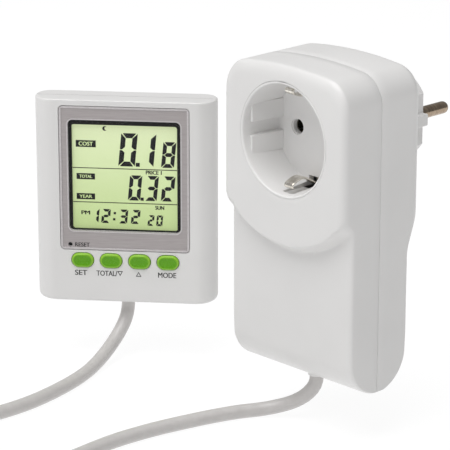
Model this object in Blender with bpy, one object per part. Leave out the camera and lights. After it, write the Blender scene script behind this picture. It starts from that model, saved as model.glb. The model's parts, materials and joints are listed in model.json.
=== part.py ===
"""Plug-in power meter: a pass-through plug unit and its display unit on a cord.

Metres, +Z up.  The origin is the middle of the plug's contact face, between
its pins.  +Y goes into the wall, +X is to the right seen from the socket.
"""
import math

import bmesh
import bpy
from mathutils import Vector

# ---- clearances -----------------------------------------------------------
GAP = 0.0003            # air between touching pieces
WALL = 0.0022           # plug unit shell wall
CASE_WALL = 0.0019      # display case wall

# ---- plug unit: housing ---------------------------------------------------
BODY_HALF = 0.0314      # half width
BODY_TOP = 0.0279
BODY_BOTTOM = -0.0956
FRONT_Y = -0.0604       # front of the round boss
LOWER_FRONT_Y = -0.0555
SEAM_Y = -0.0410
LOWER_REAR_Y = -0.0250
REAR_Y = -0.0185
TOP_CORNER = 0.0085
BOTTOM_CORNER = 0.0016
CROWN_RADIUS = 0.190    # the top is slightly domed
EDGE_ROUND = 0.0032     # front and rear edges of the upper body
BOSS_RADIUS = 0.0403    # round boss at its front face
BOSS_FOOT = 0.0435      # round boss where it meets the lower front
REAR_STEP_TOP = -0.0285
REAR_STEP_FOOT = -0.0455

# ---- socket, plug and contacts --------------------------------------------
SOCKET_DEPTH = 0.0175
SOCKET_RIM = 0.0220
SOCKET_MOUTH = 0.0210
SOCKET_FLOOR = 0.0198
FLOOR_THICK = 0.0025
PIN_SPACING = 0.0190
PIN_RADIUS = 0.0024
PIN_LENGTH = 0.0190
PIN_HOLE = 0.00275
PLUG_RADIUS = 0.0182
PLUG_FLAT = 0.0153      # side flats, from the axis
PLUG_RIB = 0.0178       # guide rib, from the axis
RIB_WIDTH = 0.0046
GUIDE_SLOT = 0.0055
STRAP_WIDTH = 0.0045
STRAP_THICK = 0.0008

# ---- display unit ---------------------------------------------------------
DISPLAY_PLACE = (-0.1015, -0.0480, -0.0491)
DISPLAY_YAW = math.radians(40.0)
CASE_HALF = 0.03675
CASE_TOP = 0.0422
CASE_BOTTOM = -0.0424
CASE_DEPTH = 0.0150
CASE_SEAM = 0.0076
CASE_FRONT_ROUND = 0.0080
CASE_REAR_ROUND = 0.0060
PANEL_HALF = 0.02645
PANEL_LOW = -0.0206
PANEL_HIGH = 0.0398
PANEL_RECESS = 0.0009
WINDOW_HALF = 0.0227
WINDOW_LOW = -0.0125
WINDOW_HIGH = 0.0339
BUTTON_PITCH = 0.0116
BUTTON_Z = -0.0248
BUTTON_WIDTH = 0.0090
BUTTON_HEIGHT = 0.0060
BUTTON_TRAVEL = 0.0006
RESET_PLACE = (-0.0224, -0.0184)
STAND_AXIS = (0.0135, 0.0265)      # y, z of its hinge
STAND_HALF = 0.0140

# ---- cord -----------------------------------------------------------------
CORD_RADIUS = 0.00275
CORD_HOLE = 0.00310
CORD_Z = -0.1130        # middle of the cord where it lies
COIL_PLACE = (-0.0600, -0.2030)
COIL_MEAN = 0.0325      # middle of the turns
COIL_ACROSS = 3         # turns side by side
COIL_LAYERS = 2
COIL_ANGLE_OF_TIE = math.radians(250.0)
TIE_WIDTH = 0.0060
TIE_THICK = 0.0007


# ---- helpers --------------------------------------------------------------
def material(name, colour, roughness, metallic=0.0):
    """A plain surface from an sRGB hex colour."""
    mat = bpy.data.materials.new(name)
    mat.use_nodes = True
    linear = []
    for i in (0, 2, 4):
        value = int(colour[i:i + 2], 16) / 255
        linear.append(value / 12.92 if value < 0.04045 else ((value + 0.055) / 1.055) ** 2.4)
    shader = mat.node_tree.nodes["Principled BSDF"]
    shader.inputs["Base Color"].default_value = (*linear, 1.0)
    shader.inputs["Roughness"].default_value = roughness
    shader.inputs["Metallic"].default_value = metallic
    mat.diffuse_color = (*linear, 1.0)
    return mat


def arc(cx, cy, radius, start, end, steps):
    """Points on an arc, both ends included, angles in degrees."""
    points = []
    for i in range(steps + 1):
        a = math.radians(start + (end - start) * i / steps)
        points.append((cx + radius * math.cos(a), cy + radius * math.sin(a)))
    return points


def rounded_box_outline(low, high, radius, steps=4):
    """Counterclockwise rounded rectangle between two (u, v) corners."""
    (u0, v0), (u1, v1) = low, high
    return (arc(u1 - radius, v0 + radius, radius, -90, 0, steps)
            + arc(u1 - radius, v1 - radius, radius, 0, 90, steps)
            + arc(u0 + radius, v1 - radius, radius, 90, 180, steps)
            + arc(u0 + radius, v0 + radius, radius, 180, 270, steps))


def new_object(name, bm, sharp=35.0):
    bmesh.ops.remove_doubles(bm, verts=bm.verts, dist=1e-7)
    bmesh.ops.recalc_face_normals(bm, faces=bm.faces)
    mesh = bpy.data.meshes.new(name)
    bm.to_mesh(mesh)
    bm.free()
    mesh.shade_smooth()
    mesh.set_sharp_from_angle(angle=math.radians(sharp))
    piece = bpy.data.objects.new(name, mesh)
    bpy.context.collection.objects.link(piece)
    return piece


def loft(name, rings):
    """Close a run of rings, each with the same number of points, into a solid."""
    bm = bmesh.new()
    rows = [[bm.verts.new(point) for point in ring] for ring in rings]
    count = len(rows[0])
    for lower, upper in zip(rows, rows[1:]):
        for i in range(count):
            j = (i + 1) % count
            bm.faces.new((lower[i], lower[j], upper[j], upper[i]))
    bm.faces.new(rows[0])
    bm.faces.new(rows[-1])
    return new_object(name, bm)


def along(axis, u, v, w):
    """A point from its place across an axis (u, v) and along it (w)."""
    if axis == "X":
        return (w, u, v)
    if axis == "Y":
        return (u, w, v)
    return (u, v, w)


def prism(name, outline, start, end, axis="Y"):
    rings = [[along(axis, u, v, w) for u, v in outline] for w in (start, end)]
    return loft(name, rings)


def box(name, low, high):
    outline = [(low[0], low[2]), (high[0], low[2]), (high[0], high[2]), (low[0], high[2])]
    return prism(name, outline, low[1], high[1])


def rod(name, centre, stations, axis="Y", steps=24):
    """A round solid: stations are (place along the axis, radius)."""
    rings = []
    for w, radius in stations:
        ring = arc(centre[0], centre[1], radius, 0, 360 - 360 / steps, steps - 1)
        rings.append([along(axis, u, v, w) for u, v in ring])
    return loft(name, rings)


def ring(name, centre, profile, axis="Y", steps=24):
    """A closed (radius, place along the axis) profile turned about an axis."""
    bm = bmesh.new()
    rows = []
    for i in range(steps):
        a = 2 * math.pi * i / steps
        rows.append([bm.verts.new(along(axis, centre[0] + r * math.cos(a),
                                        centre[1] + r * math.sin(a), w)) for r, w in profile])
    count = len(profile)
    for i, row in enumerate(rows):
        after = rows[(i + 1) % steps]
        for k in range(count):
            m = (k + 1) % count
            bm.faces.new((row[k], row[m], after[m], after[k]))
    return new_object(name, bm)


def strip(name, path, low_x, high_x, thick):
    """A bent flat strip: path is (y, z) along its middle."""
    count = len(path)
    left, right = [], []
    for i, point in enumerate(path):
        before = Vector(path[max(i - 1, 0)])
        after = Vector(path[min(i + 1, count - 1)])
        run = (after - before).normalized()
        side = Vector((-run.y, run.x)) * thick / 2
        bend = 1.0
        if 0 < i < count - 1:
            inward = (Vector(point) - before).normalized()
            bend = 1 / max(0.6, inward.dot(run))
        left.append(Vector(point) + side * bend)
        right.append(Vector(point) - side * bend)
    outline = [tuple(p) for p in left] + [tuple(p) for p in reversed(right)]
    return prism(name, outline, low_x, high_x, "X")


def combine(target, tool, operation):
    """Apply one Boolean with another object, which is used up."""
    modifier = target.modifiers.new("combine", "BOOLEAN")
    modifier.operation = operation
    modifier.object = tool
    graph = bpy.context.evaluated_depsgraph_get()
    result = bpy.data.meshes.new_from_object(target.evaluated_get(graph))
    target.modifiers.clear()
    before = target.data
    result.name = before.name
    target.data = result
    bpy.data.meshes.remove(before)
    bpy.data.objects.remove(tool)
    return target


def cut(target, *tools):
    for tool in tools:
        combine(target, tool, "DIFFERENCE")
    return target


def add(target, *tools):
    for tool in tools:
        combine(target, tool, "UNION")
    return target


def finish(piece, mat, parent, pivot=None):
    """Give a piece its material, its parent and, if it moves, its origin."""
    piece.data.materials.clear()
    piece.data.materials.append(mat)
    if pivot:
        for vertex in piece.data.vertices:
            vertex.co -= Vector(pivot)
        piece.location = pivot
    piece.parent = parent
    return piece


def empty(name, place, yaw=0.0):
    frame = bpy.data.objects.new(name, None)
    frame.location = place
    frame.rotation_euler = (0, 0, yaw)
    bpy.context.collection.objects.link(frame)
    return frame


# ---- plug unit housing ----------------------------------------------------
def front_outline(inset):
    """Housing seen from the front, counterclockwise (x, z) points."""
    half = BODY_HALF - inset
    top_r = TOP_CORNER - inset
    low_r = max(BOTTOM_CORNER - inset, 0.0004)
    edge = half - top_r
    crown_steps = 6
    crown = []
    for i in range(1, crown_steps):
        x = edge - 2 * edge * i / crown_steps
        crown.append((x, BODY_TOP - inset - x * x / (2 * CROWN_RADIUS)))
    corner_z = BODY_TOP - inset - edge * edge / (2 * CROWN_RADIUS) - top_r
    low = BODY_BOTTOM + inset
    return (arc(half - low_r, low + low_r, low_r, -90, 0, 4)
            + arc(edge, corner_z, top_r, 0, 90, 5) + crown
            + arc(-edge, corner_z, top_r, 90, 180, 5)
            + arc(low_r - half, low + low_r, low_r, 180, 270, 4))


def side_outline(inset):
    """Housing seen from its side, (y, z) points."""
    pad = 0.003
    front = LOWER_FRONT_Y + inset
    rear = LOWER_REAR_Y - inset
    middle = (LOWER_FRONT_Y + LOWER_REAR_Y) / 2
    radius = (rear - front) / 2
    boss_low = -BOSS_FOOT - pad
    step = []
    step_count = 6
    for i in range(step_count + 1):
        t = i / step_count
        ease = t * t * (3 - 2 * t)
        z = REAR_STEP_FOOT + (REAR_STEP_TOP - REAR_STEP_FOOT) * t
        step.append((rear + (REAR_Y - LOWER_REAR_Y) * ease, z))
    return ([(FRONT_Y - pad, BODY_TOP + pad), (FRONT_Y - pad, boss_low), (front, boss_low)]
            + arc(middle, BODY_BOTTOM + inset + radius, radius, 180, 360, 10)
            + step + [(REAR_Y + pad, REAR_STEP_TOP), (REAR_Y + pad, BODY_TOP + pad)])


def housing(name, inset):
    """The plug unit's outer form, drawn in by inset on every side."""
    front = FRONT_Y + inset
    rear = REAR_Y - inset
    edge = max(EDGE_ROUND - inset, 0.001)
    steps = 3
    rings = []
    for i in range(steps + 1):
        a = math.pi / 2 * i / steps
        outline = front_outline(inset + edge * (1 - math.sin(a)))
        rings.append([(x, front + edge * (1 - math.cos(a)), z) for x, z in outline])
    for i in range(steps + 1):
        a = math.pi / 2 * (steps - i) / steps
        outline = front_outline(inset + edge * (1 - math.sin(a)))
        rings.append([(x, rear - edge * (1 - math.cos(a)), z) for x, z in outline])
    body = loft(name, rings)
    side = prism("side", side_outline(inset), -0.05, 0.05, "X")
    combine(body, side, "INTERSECT")
    taper = 0.414 * inset
    pad = 0.001
    behind = box("behind", (-0.06, LOWER_FRONT_Y + inset, -0.12), (0.06, 0.01, 0.06))
    slope = (BOSS_FOOT - BOSS_RADIUS) / (LOWER_FRONT_Y - FRONT_Y)
    boss = rod("boss", (0, 0), [(front - pad, BOSS_RADIUS - taper - pad * slope),
                                (LOWER_FRONT_Y + inset + pad, BOSS_FOOT - taper + pad * slope)],
               steps=64)
    add(behind, boss)
    return combine(body, behind, "INTERSECT")


SCREW_PLACES = ((-0.022, 0.018), (0.022, 0.018), (-0.022, -0.078), (0.022, -0.078))


def screw_seat(place):
    """How far forward of the rear a housing screw's head sits."""
    return -0.0340 if place[1] > 0 else -0.0355


def make_shells(unit, plastic):
    front = cut(housing("front_shell", 0.0), housing("room", WALL))
    rear = front.copy()
    rear.data = front.data.copy()
    rear.name = "rear_shell"
    bpy.context.collection.objects.link(rear)
    cut(front, box("split", (-0.06, SEAM_Y - GAP / 2, -0.12), (0.06, 0.02, 0.06)))
    cut(rear, box("split", (-0.06, -0.08, -0.12), (0.06, SEAM_Y + GAP / 2, 0.06)))

    cut(front, rod("mouth", (0, 0), [(-0.065, SOCKET_RIM + GAP), (-0.0565, SOCKET_RIM + GAP)],
                   steps=48))
    cut(rear, rod("hole", (0, 0), [(-0.023, 0.0189), (-0.015, 0.0189)], steps=48))
    for x, z in SCREW_PLACES:
        seat = screw_seat((x, z))
        front_wall = (FRONT_Y if z > 0 else LOWER_FRONT_Y) + WALL / 2
        rear_wall = (REAR_Y if z > 0 else LOWER_REAR_Y) - WALL / 2
        add(front, rod("post", (x, z), [(front_wall, 0.0032), (SEAM_Y - GAP / 2, 0.0032)],
                       steps=16))
        cut(front, rod("pilot", (x, z), [(-0.0515, 0.0013), (-0.040, 0.0013)], steps=12))
        add(rear, rod("post", (x, z), [(SEAM_Y + GAP / 2, 0.0043), (rear_wall, 0.0043)],
                      steps=16))
        cut(rear, rod("bore", (x, z), [(-0.045, 0.0013), (seat + GAP, 0.0013)], steps=12),
            rod("sink", (x, z), [(seat, 0.0028), (0.0, 0.0028)], steps=16))
    for shell in (front, rear):
        cut(shell, rod("exit", (0, SEAM_Y), [(-0.100, 0.0039), (-0.090, 0.0039)], "Z", 20))
        finish(shell, plastic, unit)


def make_socket(unit, plastic, brass):
    floor_y = FRONT_Y + SOCKET_DEPTH
    back_y = floor_y + FLOOR_THICK
    well = rod("socket_well", (0, 0),
               [(FRONT_Y, SOCKET_RIM), (FRONT_Y + 0.0025, SOCKET_RIM)], steps=48)
    add(well, rod("flange", (0, 0), [(FRONT_Y + 0.0025, 0.0236), (-0.0564, 0.0236)], steps=48),
        rod("barrel", (0, 0), [(-0.0570, 0.0216), (back_y, 0.0216)], steps=48))
    cut(well, rod("recess", (0, 0), [(-0.0620, SOCKET_MOUTH + 0.0008), (FRONT_Y + 0.0008, SOCKET_MOUTH),
                                     (floor_y, SOCKET_FLOOR)], steps=48))
    for side in (-1, 1):
        for half in (-1, 1):
            low = min(half * GUIDE_SLOT / 2, half * 0.0098)
            high = max(half * GUIDE_SLOT / 2, half * 0.0098)
            outline = [(side * 0.0190, -0.0574), (side * 0.0186, -0.0574),
                       (side * 0.0165, floor_y + 0.001), (side * 0.0205, floor_y + 0.001),
                       (side * 0.0205, -0.0560)]
            add(well, prism("guide", outline, low, high, "Z"))
    for side in (-1, 1):
        cut(well, rod("pin_hole", (side * PIN_SPACING / 2, 0),
                      [(floor_y - 0.001, PIN_HOLE + 0.0004), (floor_y + 0.0005, PIN_HOLE),
                       (back_y + 0.001, PIN_HOLE)], steps=20))
        low = min(side * 0.0174, side * 0.0240)
        high = max(side * 0.0174, side * 0.0240)
        cut(well, box("clip_slot", (-0.0031, FRONT_Y + 0.0030, low), (0.0031, back_y + 0.002, high)))
    finish(well, plastic, unit)

    bar_y = back_y + GAP + STRAP_THICK / 2
    arm = [(-0.0568, 0.0190), (-0.0542, 0.0170), (-0.0516, 0.0160), (-0.0482, 0.0170),
           (-0.0441, 0.0192), (-0.0415, 0.0200), (bar_y, 0.0202)]
    path = [(y, -z) for y, z in arm] + [(y, z) for y, z in reversed(arm)]
    strap = strip("socket_earth_strap", path, -STRAP_WIDTH / 2, STRAP_WIDTH / 2, STRAP_THICK)
    finish(strap, brass, unit)

    for name, side in (("neutral_sleeve", -1), ("live_sleeve", 1)):
        sleeve = ring(name, (side * PIN_SPACING / 2, 0),
                      [(0.0026, back_y + GAP), (0.0037, back_y + GAP),
                       (0.0037, -0.0236), (0.0026, -0.0236)], steps=20)
        cut(sleeve, box("slit", (side * PIN_SPACING / 2 - 0.0004, back_y - 0.001, 0.0),
                        (side * PIN_SPACING / 2 + 0.0004, -0.0290, 0.0050)))
        finish(sleeve, brass, unit)


def plug_outline():
    """Plug base seen along the pins: round, side flats, a guide rib on each."""
    flat_z = math.sqrt(PLUG_RADIUS ** 2 - PLUG_FLAT ** 2)
    angle = math.degrees(math.atan2(flat_z, PLUG_FLAT))
    rib = RIB_WIDTH / 2
    right = [(PLUG_FLAT, -rib), (PLUG_RIB, -rib), (PLUG_RIB, rib), (PLUG_FLAT, rib)]
    left = [(-u, -v) for u, v in right]
    return (right + arc(0, 0, PLUG_RADIUS, angle, 180 - angle, 14)
            + left + arc(0, 0, PLUG_RADIUS, 180 + angle, 360 - angle, 14))


def make_plug(unit, plastic, brass):
    base = prism("plug_base", plug_outline(), -0.0180, 0.0)
    add(base, rod("root", (0, 0), [(-0.0210, 0.0186), (-0.0178, 0.0186)], steps=48),
        rod("flange", (0, 0), [(-0.0219, 0.0205), (-0.0210, 0.0205)], steps=48))
    for side in (-1, 1):
        cut(base, rod("pin_hole", (side * PIN_SPACING / 2, 0),
                      [(-0.023, PIN_RADIUS + GAP), (0.001, PIN_RADIUS + GAP)], steps=20))
        low = min(side * 0.0162, side * 0.0240)
        high = max(side * 0.0162, side * 0.0240)
        cut(base, box("earth_slot", (-0.0026, -0.0230, low), (0.0026, -0.0019, high)))
    finish(base, plastic, unit)

    for name, side in (("neutral_pin", -1), ("live_pin", 1)):
        stations = [(-0.0231, PIN_RADIUS), (PIN_LENGTH - PIN_RADIUS, PIN_RADIUS)]
        stations += [(PIN_LENGTH - PIN_RADIUS + PIN_RADIUS * math.sin(math.radians(a)),
                      PIN_RADIUS * math.cos(math.radians(a))) for a in (25, 50, 75)]
        pin = rod(name, (side * PIN_SPACING / 2, 0), stations, steps=20)
        finish(pin, brass, unit)

    arm = [(-0.0026, 0.0168), (-0.0090, 0.0176), (-0.0165, 0.0169), (-0.02265, 0.0169)]
    path = [(y, -z) for y, z in arm] + [(y, z) for y, z in reversed(arm)]
    finish(strip("plug_earth_strip", path, -0.0020, 0.0020, 0.0007), brass, unit)
    finish(rod("earth_link", (0, 0), [(-0.0388, 0.0020), (-0.0233, 0.0020)], steps=16), brass, unit)


BOARD_REAR = -0.0310
BOARD_FRONT = -0.0326


def make_electronics(unit, mats):
    board = box("main_board", (-0.017, BOARD_FRONT, -0.087), (0.017, BOARD_REAR, -0.038))
    finish(board, mats["board"], unit)
    face = BOARD_FRONT - GAP

    leg = [(-0.0227, 0.0060), (-0.0227, -0.0250), (-0.0298, -0.0390), (-0.0303, -0.0460)]
    for name, side in (("neutral_strip", -1), ("live_in_strip", 1)):
        x = side * PIN_SPACING / 2
        piece = strip(name, leg, x - 0.0035, x + 0.0035, STRAP_THICK)
        cut(piece, rod("eye", (x, 0), [(-0.025, PIN_RADIUS + GAP), (-0.020, PIN_RADIUS + GAP)],
                       steps=20))
        finish(piece, mats["copper"], unit)
    x = PIN_SPACING / 2
    tail = [(-0.0310, -0.0044), (-0.0336, -0.0050), (-0.0336, -0.0450)]
    finish(strip("live_out_strip", tail, x - 0.0030, x + 0.0030, STRAP_THICK), mats["copper"], unit)

    shunt = box("current_shunt", (0.001, face - 0.0012, -0.0530), (0.0155, face, -0.0470))
    add(shunt, box("arch", (0.004, face - 0.0030, -0.0525), (0.0125, face - 0.0010, -0.0475)))
    finish(shunt, mats["copper"], unit)
    capacitor = prism("dropper_capacitor",
                      rounded_box_outline((-0.0150, -0.0860), (0.0020, -0.0730), 0.0012, 2),
                      face - 0.0110, face)
    finish(capacitor, mats["yellow"], unit)
    can = rod("smoothing_capacitor", (0.0105, -0.0620),
              [(face - 0.0120, 0.0036), (face - 0.0114, 0.0040), (face, 0.0040)])
    finish(can, mats["dark"], unit)
    finish(rod("varistor", (face - 0.0055, -0.0790), [(0.0080, 0.0050), (0.0116, 0.0050)],
               "X"), mats["blue"], unit)
    finish(rod("fuse", (-0.0120, -0.0500), [(face - 0.0080, 0.0036), (face, 0.0036)], steps=20),
           mats["dark"], unit)
    finish(box("metering_chip", (-0.0080, face - 0.0022, -0.0680), (0.0020, face, -0.0600)),
           mats["dark"], unit)


def make_gland(unit, rubber, plastic):
    low = -0.0966
    profile = [(CORD_HOLE, low), (0.0034, low), (0.00355, low + 0.0003), (0.00355, -0.0921),
               (0.0046, -0.0921), (0.0046, -0.0915), (CORD_HOLE, -0.0915)]
    finish(ring("cord_gland", (0, SEAM_Y), profile, "Z", 24), rubber, unit)
    profile = [(CORD_HOLE, -0.0912), (0.0050, -0.0912), (0.0050, -0.0885), (CORD_HOLE, -0.0885)]
    finish(ring("cord_clamp", (0, SEAM_Y), profile, "Z", 20), plastic, unit)


def make_screw(name, centre, seat, reach, head, shank, parent, steel):
    """A pan-head screw pointing to -Y with its head behind the seat."""
    stations = [(seat - reach, shank * 0.5), (seat - reach + 0.001, shank), (seat + GAP, shank),
                (seat + GAP, head), (seat + GAP + head * 0.6, head * 0.8)]
    finish(rod(name, centre, stations, steps=16), steel, parent)


# ---- display unit ---------------------------------------------------------
def plan_outline(inset):
    """Display case seen from above, (x, y) points."""
    half = CASE_HALF - inset
    front = inset
    rear = CASE_DEPTH - inset
    front_r = CASE_FRONT_ROUND - inset
    rear_r = CASE_REAR_ROUND - inset
    return (arc(half - front_r, front + front_r, front_r, -90, 0, 6)
            + arc(half - rear_r, rear - rear_r, rear_r, 0, 90, 5)
            + arc(rear_r - half, rear - rear_r, rear_r, 90, 180, 5)
            + arc(front_r - half, front + front_r, front_r, 180, 270, 6))


def display_body(name, inset):
    low = CASE_BOTTOM + inset
    high = CASE_TOP - inset
    body = prism(name, plan_outline(inset), low - 0.001, high + 0.001, "Z")
    half = CASE_HALF - inset
    low_r = 0.0042 - inset * 0.5
    high_r = 0.0018
    outline = (arc(half - low_r, low + low_r, low_r, -90, 0, 4)
               + arc(half - high_r, high - high_r, high_r, 0, 90, 3)
               + arc(high_r - half, high - high_r, high_r, 90, 180, 3)
               + arc(low_r - half, low + low_r, low_r, 180, 270, 4))
    return combine(body, prism("front_form", outline, -0.005, CASE_DEPTH + 0.005), "INTERSECT")


def stadium(x, z, width, height):
    radius = height / 2
    reach = width / 2 - radius
    return arc(x + reach, z, radius, -90, 90, 8) + arc(x - reach, z, radius, 90, 270, 8)


CASE_SCREWS = ((-0.030, 0.034), (0.030, 0.034), (-0.030, -0.034), (0.030, -0.034))
BUTTONS = ("set_button", "total_button", "up_button", "mode_button")
BOARD_Y = (0.0068, 0.0080)


def button_x(index):
    return (index - 1.5) * BUTTON_PITCH


def make_display_case(unit, plastic, grey):
    front = cut(display_body("display_front_case", 0.0), display_body("room", CASE_WALL))
    rear = front.copy()
    rear.data = front.data.copy()
    rear.name = "display_rear_case"
    bpy.context.collection.objects.link(rear)
    cut(front, box("split", (-0.05, CASE_SEAM - GAP / 2, -0.06), (0.05, 0.03, 0.06)))
    cut(rear, box("split", (-0.05, -0.03, -0.06), (0.05, CASE_SEAM + GAP / 2, 0.06)))

    panel = rounded_box_outline((-PANEL_HALF, PANEL_LOW), (PANEL_HALF, PANEL_HIGH), 0.0016, 3)
    cut(front, prism("recess", panel, -0.002, PANEL_RECESS))
    window = rounded_box_outline((-WINDOW_HALF, WINDOW_LOW), (WINDOW_HALF, WINDOW_HIGH), 0.0018, 3)
    cut(front, prism("opening", window, -0.001, 0.004))
    for index in range(4):
        hole = stadium(button_x(index), BUTTON_Z, BUTTON_WIDTH + 2 * GAP, BUTTON_HEIGHT + 2 * GAP)
        cut(front, prism("hole", hole, -0.002, 0.004))
    cut(front, rod("reset_hole", RESET_PLACE, [(-0.001, 0.0009), (0.004, 0.0009)], steps=12))

    hinge_y, hinge_z = STAND_AXIS
    door_pad = box("pad", (-0.0155, 0.0117, -0.0410), (0.0155, 0.0140, -0.0047))
    stand_pad = box("pad", (-0.0172, 0.0117, -0.0047), (0.0172, 0.0140, 0.0235))
    hinge_pad = box("pad", (-0.0172, 0.0103, 0.0230), (0.0172, 0.0140, 0.0305))
    add(rear, add(door_pad, stand_pad, hinge_pad))
    cut(rear,
        box("door_seat", (-0.0133, 0.0130, -0.0500), (0.0133, 0.0200, -0.0066)),
        box("cell_port", (-0.0115, 0.0100, -0.0300), (0.0115, 0.0200, -0.0072)),
        box("stand_seat", (-STAND_HALF - GAP, 0.0129, -0.0032),
            (STAND_HALF + GAP, 0.0200, hinge_z)),
        box("knuckle_seat", (-STAND_HALF - GAP, 0.0117, hinge_z - 0.0020),
            (STAND_HALF + GAP, 0.0200, hinge_z + 0.0018)),
        rod("pin_seat", STAND_AXIS, [(-0.0162, 0.0009), (0.0162, 0.0009)], "X", 16))
    for place in CASE_SCREWS:
        add(front, rod("post", place, [(CASE_WALL / 2, 0.0026), (CASE_SEAM - GAP / 2, 0.0026)],
                       steps=14))
        cut(front, rod("pilot", place, [(0.0030, 0.00115), (0.009, 0.00115)], steps=12))
        add(rear, rod("post", place, [(CASE_SEAM + GAP / 2, 0.0034), (0.0140, 0.0034)], steps=16))
        cut(rear, rod("bore", place, [(0.006, 0.00115), (0.0106, 0.00115)], steps=12),
            rod("sink", place, [(0.0104, 0.0023), (0.020, 0.0023)], steps=16))
    for case in (front, rear):
        cut(case, rod("exit", (0, CASE_SEAM), [(-0.045, CORD_HOLE), (-0.039, CORD_HOLE)], "Z", 20))
        finish(case, plastic, unit)

    plate = prism("bezel_panel",
                  rounded_box_outline((-PANEL_HALF + GAP, PANEL_LOW + GAP),
                                      (PANEL_HALF - GAP, PANEL_HIGH - GAP), 0.0014, 3),
                  0.0001, PANEL_RECESS - GAP)
    cut(plate, prism("opening", window, -0.001, 0.004),
        rod("reset_hole", RESET_PLACE, [(-0.001, 0.0009), (0.004, 0.0009)], steps=12))
    finish(plate, grey, unit)


def make_readout(unit, mats):
    pane = rounded_box_outline((-WINDOW_HALF + GAP, WINDOW_LOW + GAP),
                               (WINDOW_HALF - GAP, WINDOW_HIGH - GAP), 0.0016, 3)
    finish(prism("lcd_window", pane, 0.0004, 0.0016), mats["clear"], unit)
    gasket = prism("lcd_gasket", pane, 0.0019, 0.0026)
    cut(gasket, box("view", (-0.0213, 0.001, -0.0113), (0.0213, 0.004, 0.0321)))
    finish(gasket, mats["dark"], unit)
    finish(box("lcd_glass", (-0.0229, 0.0029, -0.0130), (0.0229, 0.0053, 0.0344)),
           mats["lcd"], unit)
    finish(box("zebra_strip", (-0.0200, 0.0056, -0.0127), (0.0200, 0.0065, -0.0109)),
           mats["rubber"], unit)
    finish(box("display_board", (-0.0260, BOARD_Y[0], -0.0355), (0.0260, BOARD_Y[1], 0.0380)),
           mats["board"], unit)
    finish(box("controller_chip", (-0.0050, 0.0083, 0.0080), (0.0050, 0.0098, 0.0180)),
           mats["dark"], unit)
    holder = ring("cell_holder", (0, -0.0185), [(0.0094, 0.0083), (0.0113, 0.0083),
                                                (0.0113, 0.0114), (0.0103, 0.0114),
                                                (0.0103, 0.0089), (0.0094, 0.0089)], steps=28)
    finish(holder, mats["dark"], unit)
    cell = rod("backup_cell", (0, -0.0185), [(0.0092, 0.0088), (0.0094, 0.0100), (0.0124, 0.0100)],
               steps=28)
    finish(cell, mats["steel"], unit)
    profile = [(CORD_HOLE, -0.0400), (0.0038, -0.0400), (0.0038, -0.0363), (CORD_HOLE, -0.0363)]
    finish(ring("display_cord_clamp", (0, CASE_SEAM), profile, "Z", 20), mats["plastic"], unit)


def make_buttons(unit, mats):
    switch_face = 0.0044
    for index, name in enumerate(BUTTONS):
        x = button_x(index)
        inner = 0.0022
        rings = []
        for y, shrink in ((-0.0010, 0.0008), (-0.0007, 0.0002), (-0.0003, 0.0), (inner, 0.0)):
            outline = stadium(x, BUTTON_Z, BUTTON_WIDTH - 2 * shrink, BUTTON_HEIGHT - 2 * shrink)
            rings.append([(u, y, v) for u, v in outline])
        cap = loft(name, rings)
        skirt = stadium(x, BUTTON_Z, BUTTON_WIDTH + 0.0016, BUTTON_HEIGHT + 0.0014)
        add(cap, prism("skirt", skirt, inner, 0.0030),
            rod("stem", (x, BUTTON_Z), [(0.0028, 0.0014), (0.0035, 0.0014)], steps=12))
        finish(cap, mats["green"], unit, (x, 0.0, BUTTON_Z))
        switch = box("switch_" + name[:-7],
                     (x - 0.003, 0.0049, BUTTON_Z - 0.003), (x + 0.003, 0.0065, BUTTON_Z + 0.003))
        add(switch, rod("dome", (x, BUTTON_Z), [(switch_face, 0.0016), (0.0052, 0.0016)], steps=12))
        finish(switch, mats["steel"], unit)
    x, z = RESET_PLACE
    plunger = rod("reset_plunger", RESET_PLACE, [(0.0014, 0.0006), (0.0022, 0.0006)], steps=12)
    add(plunger, rod("collar", RESET_PLACE, [(0.0022, 0.0016), (0.0034, 0.0016)], steps=12))
    finish(plunger, mats["dark"], unit, (x, 0.0, z))
    switch = box("switch_reset", (x - 0.0018, 0.0043, z - 0.0018), (x + 0.0018, 0.0065, z + 0.0018))
    finish(switch, mats["steel"], unit)


def make_rear_fittings(unit, mats):
    door = box("battery_door", (-0.0130, 0.0133, -0.0420), (0.0130, 0.0149, -0.0069))
    for i in range(4):
        z = -0.0380 + i * 0.0022
        add(door, box("grip", (-0.0050, 0.0145, z), (0.0050, 0.0154, z + 0.0009)))
    finish(door, mats["plastic"], unit, (0.0, 0.0141, -0.0420))

    y, z = STAND_AXIS
    knuckle = 0.0014
    stand = rod("fold_out_stand", STAND_AXIS, [(-STAND_HALF, knuckle), (STAND_HALF, knuckle)],
                "X", 20)
    add(stand, box("leaf", (-STAND_HALF, 0.0132, -0.0029), (STAND_HALF, 0.0149, z)))
    cut(stand, box("relief", (-0.0070, 0.0120, 0.0040), (0.0070, 0.0160, 0.0180)),
        rod("eye", STAND_AXIS, [(-0.02, 0.0009), (0.02, 0.0009)], "X", 16))
    finish(stand, mats["plastic"], unit, (0.0, y, z))
    finish(rod("stand_pin", STAND_AXIS, [(-0.0159, 0.0006), (0.0159, 0.0006)], "X", 12),
           mats["steel"], unit)


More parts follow.
